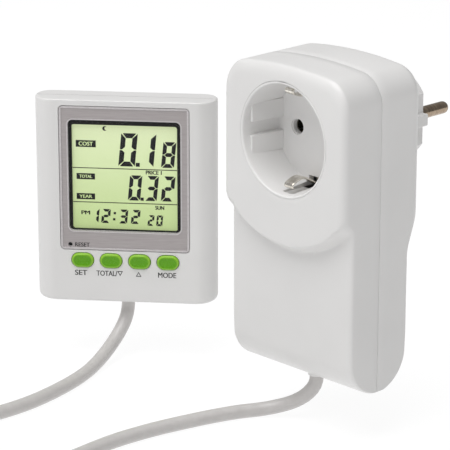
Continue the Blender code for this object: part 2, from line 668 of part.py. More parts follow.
# ---- cord -----------------------------------------------------------------
def smooth_route(points, spacing):
    """Even points on a Catmull-Rom curve through a route's own points."""
    knots = [Vector(p) for p in points]
    knots = [2 * knots[0] - knots[1]] + knots + [2 * knots[-1] - knots[-2]]
    fine = []
    for p0, p1, p2, p3 in zip(knots, knots[1:], knots[2:], knots[3:]):
        for k in range(40):
            t = k / 40
            fine.append(0.5 * (2 * p1 + (p2 - p0) * t + (2 * p0 - 5 * p1 + 4 * p2 - p3) * t ** 2
                               + (3 * p1 - 3 * p2 + p3 - p0) * t ** 3))
    fine.append(knots[-2])
    total = sum((b - a).length for a, b in zip(fine, fine[1:]))
    count = max(2, round(total / spacing))
    step = total / count
    even, walked = [fine[0]], 0.0
    for a, b in zip(fine, fine[1:]):
        length = (b - a).length
        while len(even) < count and walked + length >= step * len(even):
            even.append(a.lerp(b, (step * len(even) - walked) / length))
        walked += length
    even.append(fine[-1])
    return even


def tube(name, points, mat):
    curve = bpy.data.curves.new(name, "CURVE")
    curve.dimensions = "3D"
    curve.bevel_depth = CORD_RADIUS
    curve.bevel_resolution = 2
    curve.use_fill_caps = True
    line = curve.splines.new("POLY")
    line.points.add(len(points) - 1)
    for point, place in zip(line.points, points):
        point.co = (*place, 1.0)
    curve.materials.append(mat)
    piece = bpy.data.objects.new(name, curve)
    bpy.context.collection.objects.link(piece)
    return piece


# Route points, first to last along each run, ending where the coil begins.
DISPLAY_ROUTE = (
    (-0.1064, -0.0422, -0.0858), (-0.1064, -0.0422, -0.0900), (-0.1064, -0.0422, -0.0950),
    (-0.1060, -0.0438, -0.0998), (-0.1052, -0.0475, -0.1040), (-0.1038, -0.0530, -0.1078),
    (-0.1012, -0.0605, -0.1108), (-0.0975, -0.0695, -0.1125), (-0.0940, -0.0780, -0.1130),
    (-0.0905, -0.0880, -0.1130), (-0.0875, -0.1000, -0.1130), (-0.0855, -0.1130, -0.1130),
    (-0.0855, -0.1270, -0.1130), (-0.0880, -0.1430, -0.1130), (-0.0925, -0.1600, -0.1130),
    (-0.0961, -0.1740, -0.1124), (-0.0975, -0.1818, -0.1119),
)
PLUG_ROUTE = (
    (0.0000, -0.0410, -0.0878), (0.0000, -0.0410, -0.0930), (0.0000, -0.0410, -0.0985),
    (-0.0012, -0.0416, -0.1022), (-0.0042, -0.0430, -0.1060), (-0.0085, -0.0452, -0.1092),
    (-0.0135, -0.0485, -0.1115), (-0.0182, -0.0535, -0.1128), (-0.0222, -0.0605, -0.1130),
    (-0.0256, -0.0700, -0.1130), (-0.0290, -0.0830, -0.1130), (-0.0320, -0.0980, -0.1130),
    (-0.0335, -0.1150, -0.1130), (-0.0325, -0.1330, -0.1130), (-0.0290, -0.1500, -0.1120),
    (-0.0248, -0.1650, -0.1090), (-0.0228, -0.1755, -0.1068), (-0.0225, -0.1818, -0.1064),
)


def make_cord(mats):
    spacing = 2.2 * 2 * CORD_RADIUS
    tube("display_cord", smooth_route(DISPLAY_ROUTE, spacing), mats["cord"])
    tube("plug_cord", smooth_route(PLUG_ROUTE, spacing), mats["cord"])

    half = COIL_ACROSS * CORD_RADIUS
    floor = CORD_Z - CORD_RADIUS
    low = floor + TIE_THICK + GAP + 0.0001
    high = low + 2 * CORD_RADIUS * COIL_LAYERS
    corner = CORD_RADIUS * 0.8
    profile = rounded_box_outline((COIL_MEAN - half, low), (COIL_MEAN + half, high), corner, 2)
    finish(ring("cord_coil", COIL_PLACE, profile, "Z", 40), mats["cord"], None)

    inner_edge = COIL_MEAN - half
    sag = inner_edge - math.sqrt(inner_edge ** 2 - (TIE_WIDTH / 2) ** 2)
    near = (inner_edge - sag - GAP, low - GAP)
    far = (COIL_MEAN + half + GAP, high + GAP)
    hole = rounded_box_outline(near, far, corner * 0.6, 2)
    outer = rounded_box_outline((near[0] - TIE_THICK, floor + 0.0001),
                                (far[0] + TIE_THICK, far[1] + TIE_THICK), corner, 2)
    tie = prism("coil_tie", outer, -TIE_WIDTH / 2, TIE_WIDTH / 2)
    cut(tie, prism("room", hole, -TIE_WIDTH, TIE_WIDTH))
    finish(tie, mats["dark"], None)
    tie.location = (*COIL_PLACE, 0.0)
    tie.rotation_euler = (0, 0, COIL_ANGLE_OF_TIE)


def main():
    for old in list(bpy.data.objects):
        bpy.data.objects.remove(old)
    mats = {
        "plastic": material("white_abs", "D8D6D5", 0.42),
        "grey": material("grey_satin_panel", "A59E9E", 0.38),
        "green": material("green_button_plastic", "6EB428", 0.35),
        "clear": material("clear_acrylic", "C8D8A8", 0.08),
        "lcd": material("lcd_glass", "C8DC9C", 0.25),
        "dark": material("black_plastic", "18181A", 0.45),
        "blue": material("blue_epoxy", "2A4E8C", 0.40),
        "yellow": material("yellow_film_case", "D9B93A", 0.40),
        "board": material("circuit_board", "2E6B3A", 0.50),
        "brass": material("nickel_brass", "C9BFA6", 0.25, 1.0),
        "copper": material("tinned_copper", "C3A283", 0.30, 1.0),
        "steel": material("zinc_steel", "B9BCC0", 0.30, 1.0),
        "rubber": material("grey_rubber", "8C8A88", 0.60),
        "cord": material("grey_pvc_cord", "B5B1AF", 0.50),
    }
    unit = empty("plug_unit", (0.0, 0.0, 0.0))
    make_shells(unit, mats["plastic"])
    make_socket(unit, mats["plastic"], mats["brass"])
    make_plug(unit, mats["plastic"], mats["brass"])
    make_electronics(unit, mats)
    make_gland(unit, mats["rubber"], mats["plastic"])
    for number, place in enumerate(SCREW_PLACES, 1):
        make_screw("housing_screw_%d" % number, place, screw_seat(place), 0.0140, 0.0024, 0.0010,
                   unit, mats["steel"])

    display = empty("display_unit", DISPLAY_PLACE, DISPLAY_YAW)
    make_display_case(display, mats["plastic"], mats["grey"])
    make_readout(display, mats)
    make_buttons(display, mats)
    make_rear_fittings(display, mats)
    for number, place in enumerate(CASE_SCREWS, 1):
        make_screw("case_screw_%d" % number, place, 0.0104, 0.0068, 0.0019, 0.00085,
                   display, mats["steel"])
    make_cord(mats)


main()
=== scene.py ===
import json
import math

import bpy
import numpy as np
from mathutils import Matrix, Vector


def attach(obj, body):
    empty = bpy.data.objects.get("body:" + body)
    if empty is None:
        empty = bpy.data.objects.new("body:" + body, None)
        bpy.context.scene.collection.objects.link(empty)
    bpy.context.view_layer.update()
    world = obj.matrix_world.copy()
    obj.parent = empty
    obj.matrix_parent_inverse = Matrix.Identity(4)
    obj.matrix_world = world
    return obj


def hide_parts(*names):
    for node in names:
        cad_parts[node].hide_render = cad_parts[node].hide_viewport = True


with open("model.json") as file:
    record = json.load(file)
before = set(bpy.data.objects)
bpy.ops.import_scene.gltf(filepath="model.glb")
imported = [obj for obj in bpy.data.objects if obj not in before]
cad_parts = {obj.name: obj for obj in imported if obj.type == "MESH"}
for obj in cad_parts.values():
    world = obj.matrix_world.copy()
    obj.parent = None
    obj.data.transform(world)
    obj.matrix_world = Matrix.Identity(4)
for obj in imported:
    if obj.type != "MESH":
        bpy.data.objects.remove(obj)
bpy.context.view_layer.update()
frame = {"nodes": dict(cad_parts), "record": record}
print("frame loaded")

mm = 0.001
root = "meter"
displayYaw = math.radians(40.0)


def deselect():
    bpy.ops.object.select_all(action="DESELECT")


def facingTo(direction):
    # the turn that points a camera or a lamp along a direction
    return Vector(direction).to_track_quat("-Z", "Y").to_euler()


cameraSet = {"place": (0.64642, -0.71057, 0.25870), "look": (-0.6873, 0.6603, -0.3028),
             "lens": 208.0, "sensor": 36.0, "clipEnd": 20.0}
deselect()
bpy.ops.object.camera_add(location=cameraSet["place"], rotation=facingTo(cameraSet["look"]))
camera = bpy.context.object
camera.data.lens = cameraSet["lens"]
camera.data.sensor_width = cameraSet["sensor"]
camera.data.clip_end = cameraSet["clipEnd"]
bpy.context.scene.camera = camera


def toLinear(hexColour):
    # sRGB hex to the linear values that a shader socket wants
    out = []
    for start in (0, 2, 4):
        part = int(hexColour[start:start + 2], 16) / 255
        out.append(part / 12.92 if part <= 0.04045 else ((part + 0.055) / 1.055) ** 2.4)
    return (*out, 1.0)


def addNode(mat, kind, settings=None, links=None):
    # one node, its settings (a property or an input) and what feeds it
    node = mat.node_tree.nodes.new(kind)
    for key, setting in (settings or {}).items():
        if not isinstance(key, int) and hasattr(node, key):
            setattr(node, key, setting)
        else:
            node.inputs[key].default_value = setting
    for key, source in (links or {}).items():
        mat.node_tree.links.new(source, node.inputs[key])
    return node


def setShader(mat, sockets):
    # sets the shader's own sockets, or links them to another node's output
    shader = mat.node_tree.nodes["Principled BSDF"]
    for socket, source in sockets.items():
        if isinstance(source, bpy.types.NodeSocket):
            mat.node_tree.links.new(source, shader.inputs[socket])
        else:
            shader.inputs[socket].default_value = source


def newMaterial(name, hexColour, roughness, metallic=0.0, ior=1.5):
    mat = bpy.data.materials.new(name)
    mat.use_nodes = True
    mat.diffuse_color = toLinear(hexColour)
    setShader(mat, {"Base Color": mat.diffuse_color, "Roughness": roughness,
                    "Metallic": metallic})
    if metallic == 0.0:
        setShader(mat, {"IOR": ior})
    return mat


def noiseOf(mat, size, detail=2.0, rough=0.5, stretch=(1.0, 1.0, 1.0), turn=0.0):
    # noise on Object coordinates; size is one blotch's real width in millimetres
    where = addNode(mat, "ShaderNodeTexCoord")
    spin = addNode(mat, "ShaderNodeMapping", {"Rotation": (0.0, 0.0, -turn)},
                   {"Vector": where.outputs["Object"]})
    pull = addNode(mat, "ShaderNodeMapping", {"Scale": stretch},
                   {"Vector": spin.outputs["Vector"]})
    return addNode(mat, "ShaderNodeTexNoise",
                   {"Scale": 1.0 / (size * mm), "Detail": detail, "Roughness": rough},
                   {"Vector": pull.outputs["Vector"]}).outputs["Fac"]


def twoTones(mat, fac, darkHex, lightHex, low=0.3, high=0.7):
    # colour that runs between two close hex values
    ramp = addNode(mat, "ShaderNodeValToRGB", links={"Fac": fac})
    for stop, place, hexColour in zip(ramp.color_ramp.elements, (low, high), (darkHex, lightHex)):
        stop.position = place
        stop.color = toLinear(hexColour)
    return ramp.outputs["Color"]


def grainOf(mat, fac, roughLow, roughHigh, strength=0.0, height=0.0):
    # roughness that follows a pattern, and its relief, with the height in millimetres
    spread = addNode(mat, "ShaderNodeMapRange", {"To Min": roughLow, "To Max": roughHigh},
                     {"Value": fac})
    setShader(mat, {"Roughness": spread.outputs["Result"]})
    if strength:
        bump = addNode(mat, "ShaderNodeBump", {"Strength": strength, "Distance": height * mm},
                       {"Height": fac})
        setShader(mat, {"Normal": bump.outputs["Normal"]})


def makeWhiteAbs(name, darkHex, lightHex, roughLow, roughHigh):
    # moulded ABS, spark-eroded satin tool: soft broad highlight, very fine grain
    mat = newMaterial(name, lightHex, roughLow, ior=1.54)
    setShader(mat, {"Base Color": twoTones(mat, noiseOf(mat, 30.0), darkHex, lightHex)})
    grainOf(mat, noiseOf(mat, 0.45, 3.0), roughLow, roughHigh, 0.10, 0.04)
    return mat


def makeGreyFoil():
    # screen-printed satin foil: streaks run across it, a few millimetres long
    mat = newMaterial("brushedGreyFoil", "A69F9F", 0.34)
    streak = noiseOf(mat, 0.32, 3.0, 0.6, (0.04, 0.04, 1.0), displayYaw)
    setShader(mat, {"Base Color": twoTones(mat, streak, "9E9797", "AEA8A8", 0.25, 0.75),
                    "Coat Weight": 0.25, "Coat Roughness": 0.25})
    grainOf(mat, streak, 0.28, 0.44, 0.06, 0.03)
    return mat


def makeLime():
    # translucent lime ABS key: thick in the middle, so darker; the thin rim is painted lighter, a
    # painted glow for the light it lets through
    mat = newMaterial("limeKeyAbs", "5FA012", 0.26, ior=1.52)
    middle = twoTones(mat, noiseOf(mat, 4.0), "56990A", "62A412", 0.0, 1.0)
    # painted glow: the rim attribute mixes the key towards the lighter lime 8FC43A
    rim = addNode(mat, "ShaderNodeAttribute", {"attribute_name": "rimPaintedGlow"})
    mixed = addNode(mat, "ShaderNodeMix", {"data_type": "RGBA"}, {0: rim.outputs["Fac"], 6: middle})
    mixed.inputs[7].default_value = toLinear("8FC43A")
    setShader(mat, {"Base Color": mixed.outputs[2], "Specular IOR Level": 0.3})
    grainOf(mat, noiseOf(mat, 0.4), 0.22, 0.32, 0.05, 0.03)
    return mat


def makeLcd():
    # green transflective glass, with painted light: the colour runs lighter towards the top and
    # darker towards the bottom, and a faint emission is a painted glow
    mat = newMaterial("transflectiveGreenGlass", "CFE2A4", 0.22, ior=1.52)
    where = addNode(mat, "ShaderNodeTexCoord")
    split = addNode(mat, "ShaderNodeSeparateXYZ", links={"Vector": where.outputs["Object"]})
    rise = addNode(mat, "ShaderNodeMapRange", {"From Min": -60.5 * mm, "From Max": -16.9 * mm},
                   {"Value": split.outputs["Z"]})
    mixed = addNode(mat, "ShaderNodeMath", {"operation": "MULTIPLY_ADD", 1: 0.12},
                    {0: noiseOf(mat, 9.0), 2: rise.outputs["Result"]})
    # painted light: lighter towards the top, and the emission is a painted glow
    setShader(mat, {
        "Base Color": twoTones(mat, mixed.outputs["Value"], "A6BF7C", "DCE6C2", 0.05, 1.0),
        "Emission Color": toLinear("D0DFA6"), "Emission Strength": 0.49,
        "Specular IOR Level": 0.2})
    grainOf(mat, noiseOf(mat, 0.3), 0.18, 0.30)
    return mat


def makePane():
    # thin clear acrylic pane: only its gloss shows
    mat = newMaterial("clearAcrylicPane", "0C0E0A", 0.06, ior=1.49)
    setShader(mat, {"Alpha": 0.06, "Specular IOR Level": 0.3})
    grainOf(mat, noiseOf(mat, 3.0), 0.04, 0.09)
    return mat


def makeSimple(name, darkHex, lightHex, blotch, rough, metallic=0.0, ior=1.5, relief=0.08,
               stretch=(1.0, 1.0, 1.0)):
    # two close colours in blotches of a real size, with roughness and relief from them
    mat = newMaterial(name, lightHex, rough, metallic, ior)
    fac = noiseOf(mat, blotch, 3.0, 0.55, stretch)
    setShader(mat, {"Base Color": twoTones(mat, fac, darkHex, lightHex)})
    grainOf(mat, fac, rough * 0.8, rough * 1.25, relief, blotch * 0.1)
    return mat


# a lighter copy of the white ABS for the socket well: painted light, so its inside reads brighter
socketAbsPaintedLight = makeWhiteAbs("mouldedSocketAbsPaintedLight", "E2E1E0", "E8E7E6", 0.34, 0.46)
# turned and nickel-plated brass pin: bright, faint rings round it
nickelPlate = makeSimple("turnedNickelPlate", "8E7D6C", "BBA994", 0.8, 0.20, 1.0,
                         stretch=(0.2, 1.0, 0.2))
# screen-printed ink: flat black, a little raised
blackInk = makeSimple("screenPrintedInk", "1A1A1C", "222224", 0.3, 0.45)
# liquid crystal segment, near black with a blue cast
segmentInk = makeSimple("liquidCrystalDark", "07080C", "0C0D13", 0.8, 0.45)
# the foil's narrow rim and the window bead are the same grey, polished; their lighter colour is a
# painted highlight where their edges catch the light
rimPaintedHighlight = makeSimple("greyRimPaintedHighlight", "BDB8B9", "C9C5C6", 1.0, 0.22, relief=0.02)
# closed-cell foam strip: matt and dark
gasketFoam = makeSimple("blackGasketFoam", "0B0B0C", "131314", 0.3, 0.65)
slotFinish = {
    "white_abs": makeWhiteAbs("mouldedWhiteAbs", "DCDBDA", "E0DFDE", 0.30, 0.42),
    "grey_panel": makeGreyFoil(), "green_button": makeLime(),
    "clear_window": makePane(), "lcd_glass": makeLcd(),
    # stamped nickel silver contact spring: warm grey metal, drawn along its length
    "nickel_brass": makeSimple("stampedNickelSilver", "D2CCC0", "F4F1EA", 1.2, 0.19, 1.0,
                               stretch=(1.0, 0.25, 0.25)),
    # bright passivated zinc on pressed steel: cool grey, slightly clouded
    "zinc_steel": makeSimple("zincPlatedSteel", "8F9397", "BFC3C7", 0.8, 0.32, 1.0),
    # soft PVC sheath, extruded: smooth satin
    "grey_pvc": makeSimple("extrudedGreyPvc", "C0BDBB", "C6C3C1", 3.0, 0.33, ior=1.53,
                           relief=0.02),
    # low-sheen black ABS, dipped epoxy, a film capacitor's case, green solder resist, tinned
    # copper and soft rubber
    "black_plastic": makeSimple("mouldedBlackAbs", "131315", "1C1C1F", 0.6, 0.42),
    "blue_epoxy": makeSimple("dippedBlueEpoxy", "234680", "2F5596", 1.5, 0.28),
    "yellow_film": makeSimple("mouldedYellowFilmCase", "D0AF31", "DDBF45", 1.0, 0.40),
    "circuit_board": makeSimple("greenSolderMask", "22592E", "2F6F3C", 1.8, 0.35),
    "tinned_copper": makeSimple("tinnedCopper", "A98468", "CDAE90", 2.0, 0.30, 1.0),
    "grey_rubber": makeSimple("mouldedGreyRubber", "8D8B89", "999794", 0.5, 0.60),
}
for entry in frame["record"]["subparts"]:
    for materialSlot in frame["nodes"][entry["node"]].material_slots:
        materialSlot.material = slotFinish[entry["material_slot"]]
print("finishes ready")


# The tools below take millimetres.
def only(piece):
    if bpy.context.object and bpy.context.object.mode != "OBJECT":
        bpy.ops.object.mode_set(mode="OBJECT")
    deselect()
    piece.select_set(True)
    bpy.context.view_layer.objects.active = piece


def editAll(piece, *steps):
    # edit-mode steps, each on the whole mesh
    only(piece)
    bpy.ops.object.mode_set(mode="EDIT")
    for step in steps:
        bpy.ops.mesh.select_all(action="SELECT")
        step()
    bpy.ops.object.mode_set(mode="OBJECT")


def smooth(piece, angle=35.0):
    # smooth all but the sharp edges
    only(piece)
    bpy.ops.object.shade_smooth_by_angle(angle=math.radians(angle))
    return piece


def tidyMesh(piece, angle):
    # merge doubles and turn faces outwards
    editAll(piece, lambda: bpy.ops.mesh.remove_doubles(threshold=0.002 * mm),
            bpy.ops.mesh.delete_loose, bpy.ops.mesh.normals_make_consistent)
    return smooth(piece, angle)


def linked(name, data):
    piece = bpy.data.objects.new(name, data)
    bpy.context.collection.objects.link(piece)
    return piece


def pointsOf(piece):
    flat = np.empty(len(piece.data.vertices) * 3)
    piece.data.vertices.foreach_get("co", flat)
    return flat.reshape(-1, 3)


def setPoints(piece, points):
    piece.data.vertices.foreach_set("co", (points * mm).ravel())
    piece.data.update()


def wrapGrid(name, rows, angle=35.0):
    # a grid primitive wrapped into a tube through rows of points
    rows = np.asarray(rows, dtype=float)
    along, around = len(rows) - 1, rows.shape[1]
    deselect()
    bpy.ops.mesh.primitive_grid_add(x_subdivisions=around, y_subdivisions=along, size=1.0)
    piece = bpy.context.object
    piece.name = name
    spots = pointsOf(piece) + 0.5
    i = np.rint(spots[:, 0] * around).astype(int)
    j = np.rint(spots[:, 1] * along).astype(int)
    setPoints(piece, rows[j, i % around])
    return tidyMesh(piece, angle)


def stack(name, levels, angle=35.0):
    # closes a run of equal outlines into a solid
    levels = np.asarray(levels, dtype=float)
    first, last = (np.repeat(end.mean(axis=1, keepdims=True), levels.shape[1], axis=1)
                   for end in (levels[:1], levels[-1:]))
    return wrapGrid(name, np.concatenate([first, levels, last]), angle)


def spinProfile(name, profile, centre=(0.0, 0.0), axis="Y", steps=48, angle=35.0):
    # a (radius, place along the axis) line turned a full circle with the spin operator
    def toPoint(radius, along):
        spot = [(centre[0] + radius) * mm, centre[1] * mm]
        spot.insert("XYZ".index(axis), along * mm)
        return spot

    mesh = bpy.data.meshes.new(name)
    mesh.from_pydata([toPoint(*spot) for spot in profile],
                     [(k, k + 1) for k in range(len(profile) - 1)], [])
    piece = linked(name, mesh)
    editAll(piece, lambda: bpy.ops.mesh.spin(
        steps=steps, angle=2 * math.pi, center=toPoint(0.0, 0.0),
        axis=tuple(float(axis == other) for other in "XYZ")))
    return tidyMesh(piece, angle)


def drum(name, centre, start, end, radius, axis="Y", steps=48):
    # a round tool or peg along an axis
    return spinProfile(name, [(0.0, start), (radius, start), (radius, end), (0.0, end)],
                       centre, axis, steps)


def arcPoints(u, v, radius, start, end, steps):
    turn = np.radians(np.linspace(start, end, steps + 1))
    return np.stack([u + radius * np.cos(turn), v + radius * np.sin(turn)], axis=1)


def roundedBox(low, high, radius, steps=8):
    (u0, v0), (u1, v1) = np.add(low, radius), np.subtract(high, radius)
    corners = ((u1, v0, -90), (u1, v1, 0), (u0, v1, 90), (u0, v0, 180))
    return np.concatenate([arcPoints(u, v, radius, start, start + 90, steps)
                           for u, v, start in corners])


def stadium(x, z, width, height, steps=14):
    radius = height / 2
    reach = width / 2 - radius
    return np.concatenate([arcPoints(x + reach, z, radius, -90, 90, steps),
                           arcPoints(x - reach, z, radius, 90, 270, steps)])


def atDepth(outline, y):
    # an outline in x and z put at one depth
    return np.insert(np.asarray(outline, dtype=float), 1, y, axis=1)


def plate(name, outline, yLow, yHigh):
    # an outline in x and z given a thickness along y
    return stack(name, [atDepth(outline, yLow), atDepth(outline, yHigh)])


def settle(piece, placement=None):
    # the piece's place goes into its mesh
    if placement is not None:
        piece.matrix_world = placement @ piece.matrix_world
    only(piece)
    bpy.ops.object.transform_apply(location=True, rotation=True, scale=True)
    return piece


def block(name, low, high):
    # a cube primitive between two corners
    deselect()
    bpy.ops.mesh.primitive_cube_add(size=1.0,
                                    location=[(a + b) / 2 * mm for a, b in zip(low, high)])
    piece = bpy.context.object
    piece.name = name
    piece.scale = [(b - a) * mm for a, b in zip(low, high)]
    return settle(piece)


def joined(pieces):
    if len(pieces) > 1:
        only(pieces[0])
        for piece in pieces:
            piece.select_set(True)
        bpy.ops.object.join()
    return pieces[0]


def applyModifier(piece, kind, **settings):
    only(piece)
    modifier = piece.modifiers.new(kind.lower(), kind)
    for key, setting in settings.items():
        setattr(modifier, key, setting)
    bpy.ops.object.modifier_apply(modifier=modifier.name)


def cut(piece, *tools, operation="DIFFERENCE"):
    tool = joined(tools)
    applyModifier(piece, "BOOLEAN", operation=operation, object=tool, solver="EXACT")
    bpy.data.objects.remove(tool)
    return piece


def fuse(piece, *tools):
    return cut(piece, *tools, operation="UNION")


def evenNormals(piece):
    # wide flat faces stay flat, the narrow rounds carry the bend
    smooth(piece)
    applyModifier(piece, "WEIGHTED_NORMAL", keep_sharp=True)


def softenEdges(piece, width, segments=2, angle=40.0):
    # moulded parts have no knife edges
    applyModifier(piece, "BEVEL", width=width * mm, segments=segments, limit_method="ANGLE",
                  angle_limit=math.radians(angle), use_clamp_overlap=True, miter_outer="MITER_ARC")
    evenNormals(piece)
    return piece


def finishPiece(piece, slotName, *nodes, body=root, mat=None):
    # the slot's own finish, unless another is given
    piece.data.materials.clear()
    piece.data.materials.append(mat or slotFinish[slotName])
    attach(piece, body)
    if nodes:
        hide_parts(*nodes)
    return piece


# The cord's route repeats part.py, in metres: out of the display, along the table, a stored
# coil, then to the plug unit.
cordSet = {
    "radius": 0.00275, "declared": 1.5, "spacing": 0.0022, "coilPlace": (-0.0600, -0.2030),
    "lanes": (0.0380, 0.0325, 0.0270), "lowLayer": -0.1119, "highLayer": -0.1064,
    "exit": (-0.1064, -0.0422, -0.0915),
    "fromDisplay": (
        (-0.1064, -0.0422, -0.0858), (-0.1064, -0.0422, -0.0900), (-0.1064, -0.0422, -0.0950),
        (-0.1060, -0.0438, -0.0998), (-0.1052, -0.0475, -0.1040), (-0.1038, -0.0530, -0.1078),
        (-0.1012, -0.0605, -0.1108), (-0.0975, -0.0695, -0.1125), (-0.0940, -0.0780, -0.1130),
        (-0.0905, -0.0880, -0.1130), (-0.0875, -0.1000, -0.1130), (-0.0855, -0.1130, -0.1130),
        (-0.0855, -0.1270, -0.1130), (-0.0880, -0.1430, -0.1130), (-0.0925, -0.1600, -0.1130),
        (-0.0961, -0.1740, -0.1124), (-0.0975, -0.1818, -0.1119)),
    "fromPlug": (
        (0.0000, -0.0410, -0.0878), (0.0000, -0.0410, -0.0930), (0.0000, -0.0410, -0.0985),
        (-0.0012, -0.0416, -0.1022), (-0.0042, -0.0430, -0.1060), (-0.0085, -0.0452, -0.1092),
        (-0.0135, -0.0485, -0.1115), (-0.0182, -0.0535, -0.1128), (-0.0222, -0.0605, -0.1130),
        (-0.0256, -0.0700, -0.1130), (-0.0290, -0.0830, -0.1130), (-0.0320, -0.0980, -0.1130),
        (-0.0335, -0.1150, -0.1130), (-0.0325, -0.1330, -0.1130), (-0.0290, -0.1500, -0.1120),
        (-0.0248, -0.1650, -0.1090), (-0.0228, -0.1755, -0.1068), (-0.0225, -0.1818, -0.1064)),
}
tieSet = {"rim": ((22.95, -115.65), (41.75, -102.65)), "rimR": 2.2, "half": 3.0, "edge": 0.1,
          "hole": ((23.65, -114.95), (41.05, -103.35)), "holeR": 1.6, "turn": 250.0}


def coilPoints():
    # degrees turned, lane radius, height: three lanes inwards below, three outwards above
    outer, middle, inner = cordSet["lanes"]
    low, high = cordSet["lowLayer"], cordSet["highLayer"]
    x, y = cordSet["coilPlace"]
    keys = ((0, outer, low), (300, outer, low), (360, middle, low), (660, middle, low),
            (720, inner, low), (960, inner, low), (1050, inner, high), (1260, inner, high),
            (1320, middle, high), (1620, middle, high), (1680, outer, high), (1980, outer, high))
    points = []
    for before, after in zip(keys, keys[1:]):
        steps = max(4, int((after[0] - before[0]) / 12))
        for step in range(steps):
            part = step / steps
            ease = part * part * (3 - 2 * part)
            turn = math.radians(180 + before[0] + (after[0] - before[0]) * part)
            lane = before[1] + (after[1] - before[1]) * ease
            points.append((x + lane * math.cos(turn), y + lane * math.sin(turn),
                           before[2] + (after[2] - before[2]) * ease))
    return points + [(x + outer, y, high)]


def smoothLine(points, spacing):
    # even points on a smooth curve through the route's own points
    knots = [Vector(p) for p in points]
    knots = [2 * knots[0] - knots[1]] + knots + [2 * knots[-1] - knots[-2]]
    fine = []
    for p0, p1, p2, p3 in zip(knots, knots[1:], knots[2:], knots[3:]):
        for t in [k / 24 for k in range(24)]:
            fine.append(0.5 * (2 * p1 + (p2 - p0) * t + (2 * p0 - 5 * p1 + 4 * p2 - p3) * t ** 2
                               + (3 * p1 - 3 * p2 + p3 - p0) * t ** 3))
    fine.append(knots[-2])
    walked = np.concatenate([[0.0], np.cumsum([(b - a).length for a, b in zip(fine, fine[1:])])])
    spots = np.linspace(0.0, walked[-1], int(walked[-1] / spacing) + 1)
    flat = np.array([tuple(p) for p in fine])
    return np.stack([np.interp(spots, walked, flat[:, k]) for k in range(3)], axis=1), walked[-1]


def makeCord():
    route = [*cordSet["fromDisplay"], *coilPoints(), *reversed(cordSet["fromPlug"])]
    line, length = smoothLine(route, cordSet["spacing"])
    data = bpy.data.curves.new("meterCord", "CURVE")
    data.dimensions = "3D"
    data.bevel_depth = cordSet["radius"]
    data.bevel_resolution = 5
    data.use_fill_caps = True
    spline = data.splines.new("POLY")
    spline.points.add(len(line) - 1)
    for point, place in zip(spline.points, line):
        point.co = (*place, 1.0)
    spline.use_smooth = True
    print("cord length", round(length, 4))
    return finishPiece(linked("meterCord", data), "grey_pvc",
                       "display_cord", "plug_cord", "cord_coil")


def makeTie():
    # a paper-covered wire tie round the coil
    t = tieSet
    rim, hole = roundedBox(*t["rim"], t["rimR"]), roundedBox(*t["hole"], t["holeR"])
    half, flat = t["half"], t["half"] - t["edge"]
    middle = (rim + hole) / 2
    rows = [atDepth(edge, across) for edge, across in (
        (middle, -half), (rim, -flat), (rim, flat), (middle, half), (hole, flat), (hole, -flat),
        (middle, -half))]
    tie = settle(wrapGrid("coilTie", rows), Matrix.Translation((*cordSet["coilPlace"], 0.0))
                 @ Matrix.Rotation(math.radians(t["turn"]), 4, "Z"))
    return finishPiece(tie, "black_plastic", "coil_tie")


cord = makeCord()
coilTie = makeTie()
print("cord laid")


# Plug unit: front and rear shells are skins laid out in rays from the plug axis.
shellSet = {
    "half": 31.4, "top": 27.9, "bottom": -95.6, "crown": 170.0, "topCorner": 9.5,
    "lowCorner": 0.4, "faceY": -60.4, "lowFaceY": -55.5, "seamY": -41.0, "seamGap": 0.12,
    "rearY": -18.5, "lowRearY": -25.0, "stepTop": -28.5, "stepFoot": -45.5, "bossR": 40.3,
    "bossFootR": 43.0, "bossSoft": 0.5, "roundR": 15.25, "roundY": -40.25, "roundSoft": 0.8,
    "edge": 3.0, "lowEdge": 1.5, "rearEdge": 5.0, "wall": 2.2, "mouthR": 22.06,
    "plugHoleR": 18.9, "topStretch": 0.7, "stretchZ": 14.0, "stretchOver": 8.0,
}
# how the skins are divided: rays, rings across the face (closer at the boss), rings at the edge
skinSet = {"rays": 288, "faceRings": 44, "edgeRings": 16, "wallRings": 4, "backRings": 17,
           "edgeZone": 6.0, "zoneCorner": 12.0, "closeAt": 42.0, "closeOver": 4.5,
           "closer": 3.5, "lip": 0.10}


def easeBetween(value, start, end):
    part = np.clip((value - start) / (end - start), 0.0, 1.0)
    return part * part * (3 - 2 * part)


def smoothMax(a, b, soft):
    near = np.maximum(soft - np.abs(a - b), 0.0) / soft
    return np.maximum(a, b) + near * near * soft * 0.25


def cornerDepth(x, past, radius):
    # how far a point lies inside the sides and one end; past is how far it is beyond that end
    a = np.abs(x) - shellSet["half"] + radius
    b = past + radius
    return radius - np.hypot(np.maximum(a, 0), np.maximum(b, 0)) - np.minimum(np.maximum(a, b), 0)


def topDepth(x, z):
    s = shellSet
    return cornerDepth(x, z - s["top"] + x * x / (2 * s["crown"]), s["topCorner"])


def alongRay(dx, dz, depth, lowCorner=shellSet["lowCorner"]):
    # distance along each ray at which the housing's outline is depth away
    near, far = np.full(dx.shape, 5.0), np.full(dx.shape, 130.0)
    for _ in range(40):
        middle = (near + far) / 2
        x, z = dx * middle, dz * middle
        inner = np.minimum(topDepth(x, z), cornerDepth(x, shellSet["bottom"] - z, lowCorner))
        near, far = np.where(inner > depth, middle, near), np.where(inner > depth, far, middle)
    return (near + far) / 2


def edgeRound(depth, radius):
    drop = np.minimum(np.maximum(radius - depth, 0.0), radius)
    return radius - np.sqrt(np.maximum(radius * radius - drop * drop, 0.0))


def bottomRound(z, inset):
    radius = shellSet["roundR"] - inset
    rise = z - shellSet["bottom"] - shellSet["roundR"]
    low, high = np.minimum(rise, 0.0), np.maximum(rise, 0.0)
    return np.sqrt(np.maximum(radius * radius - low * low, 0.0)) + high * high / (2 * radius)


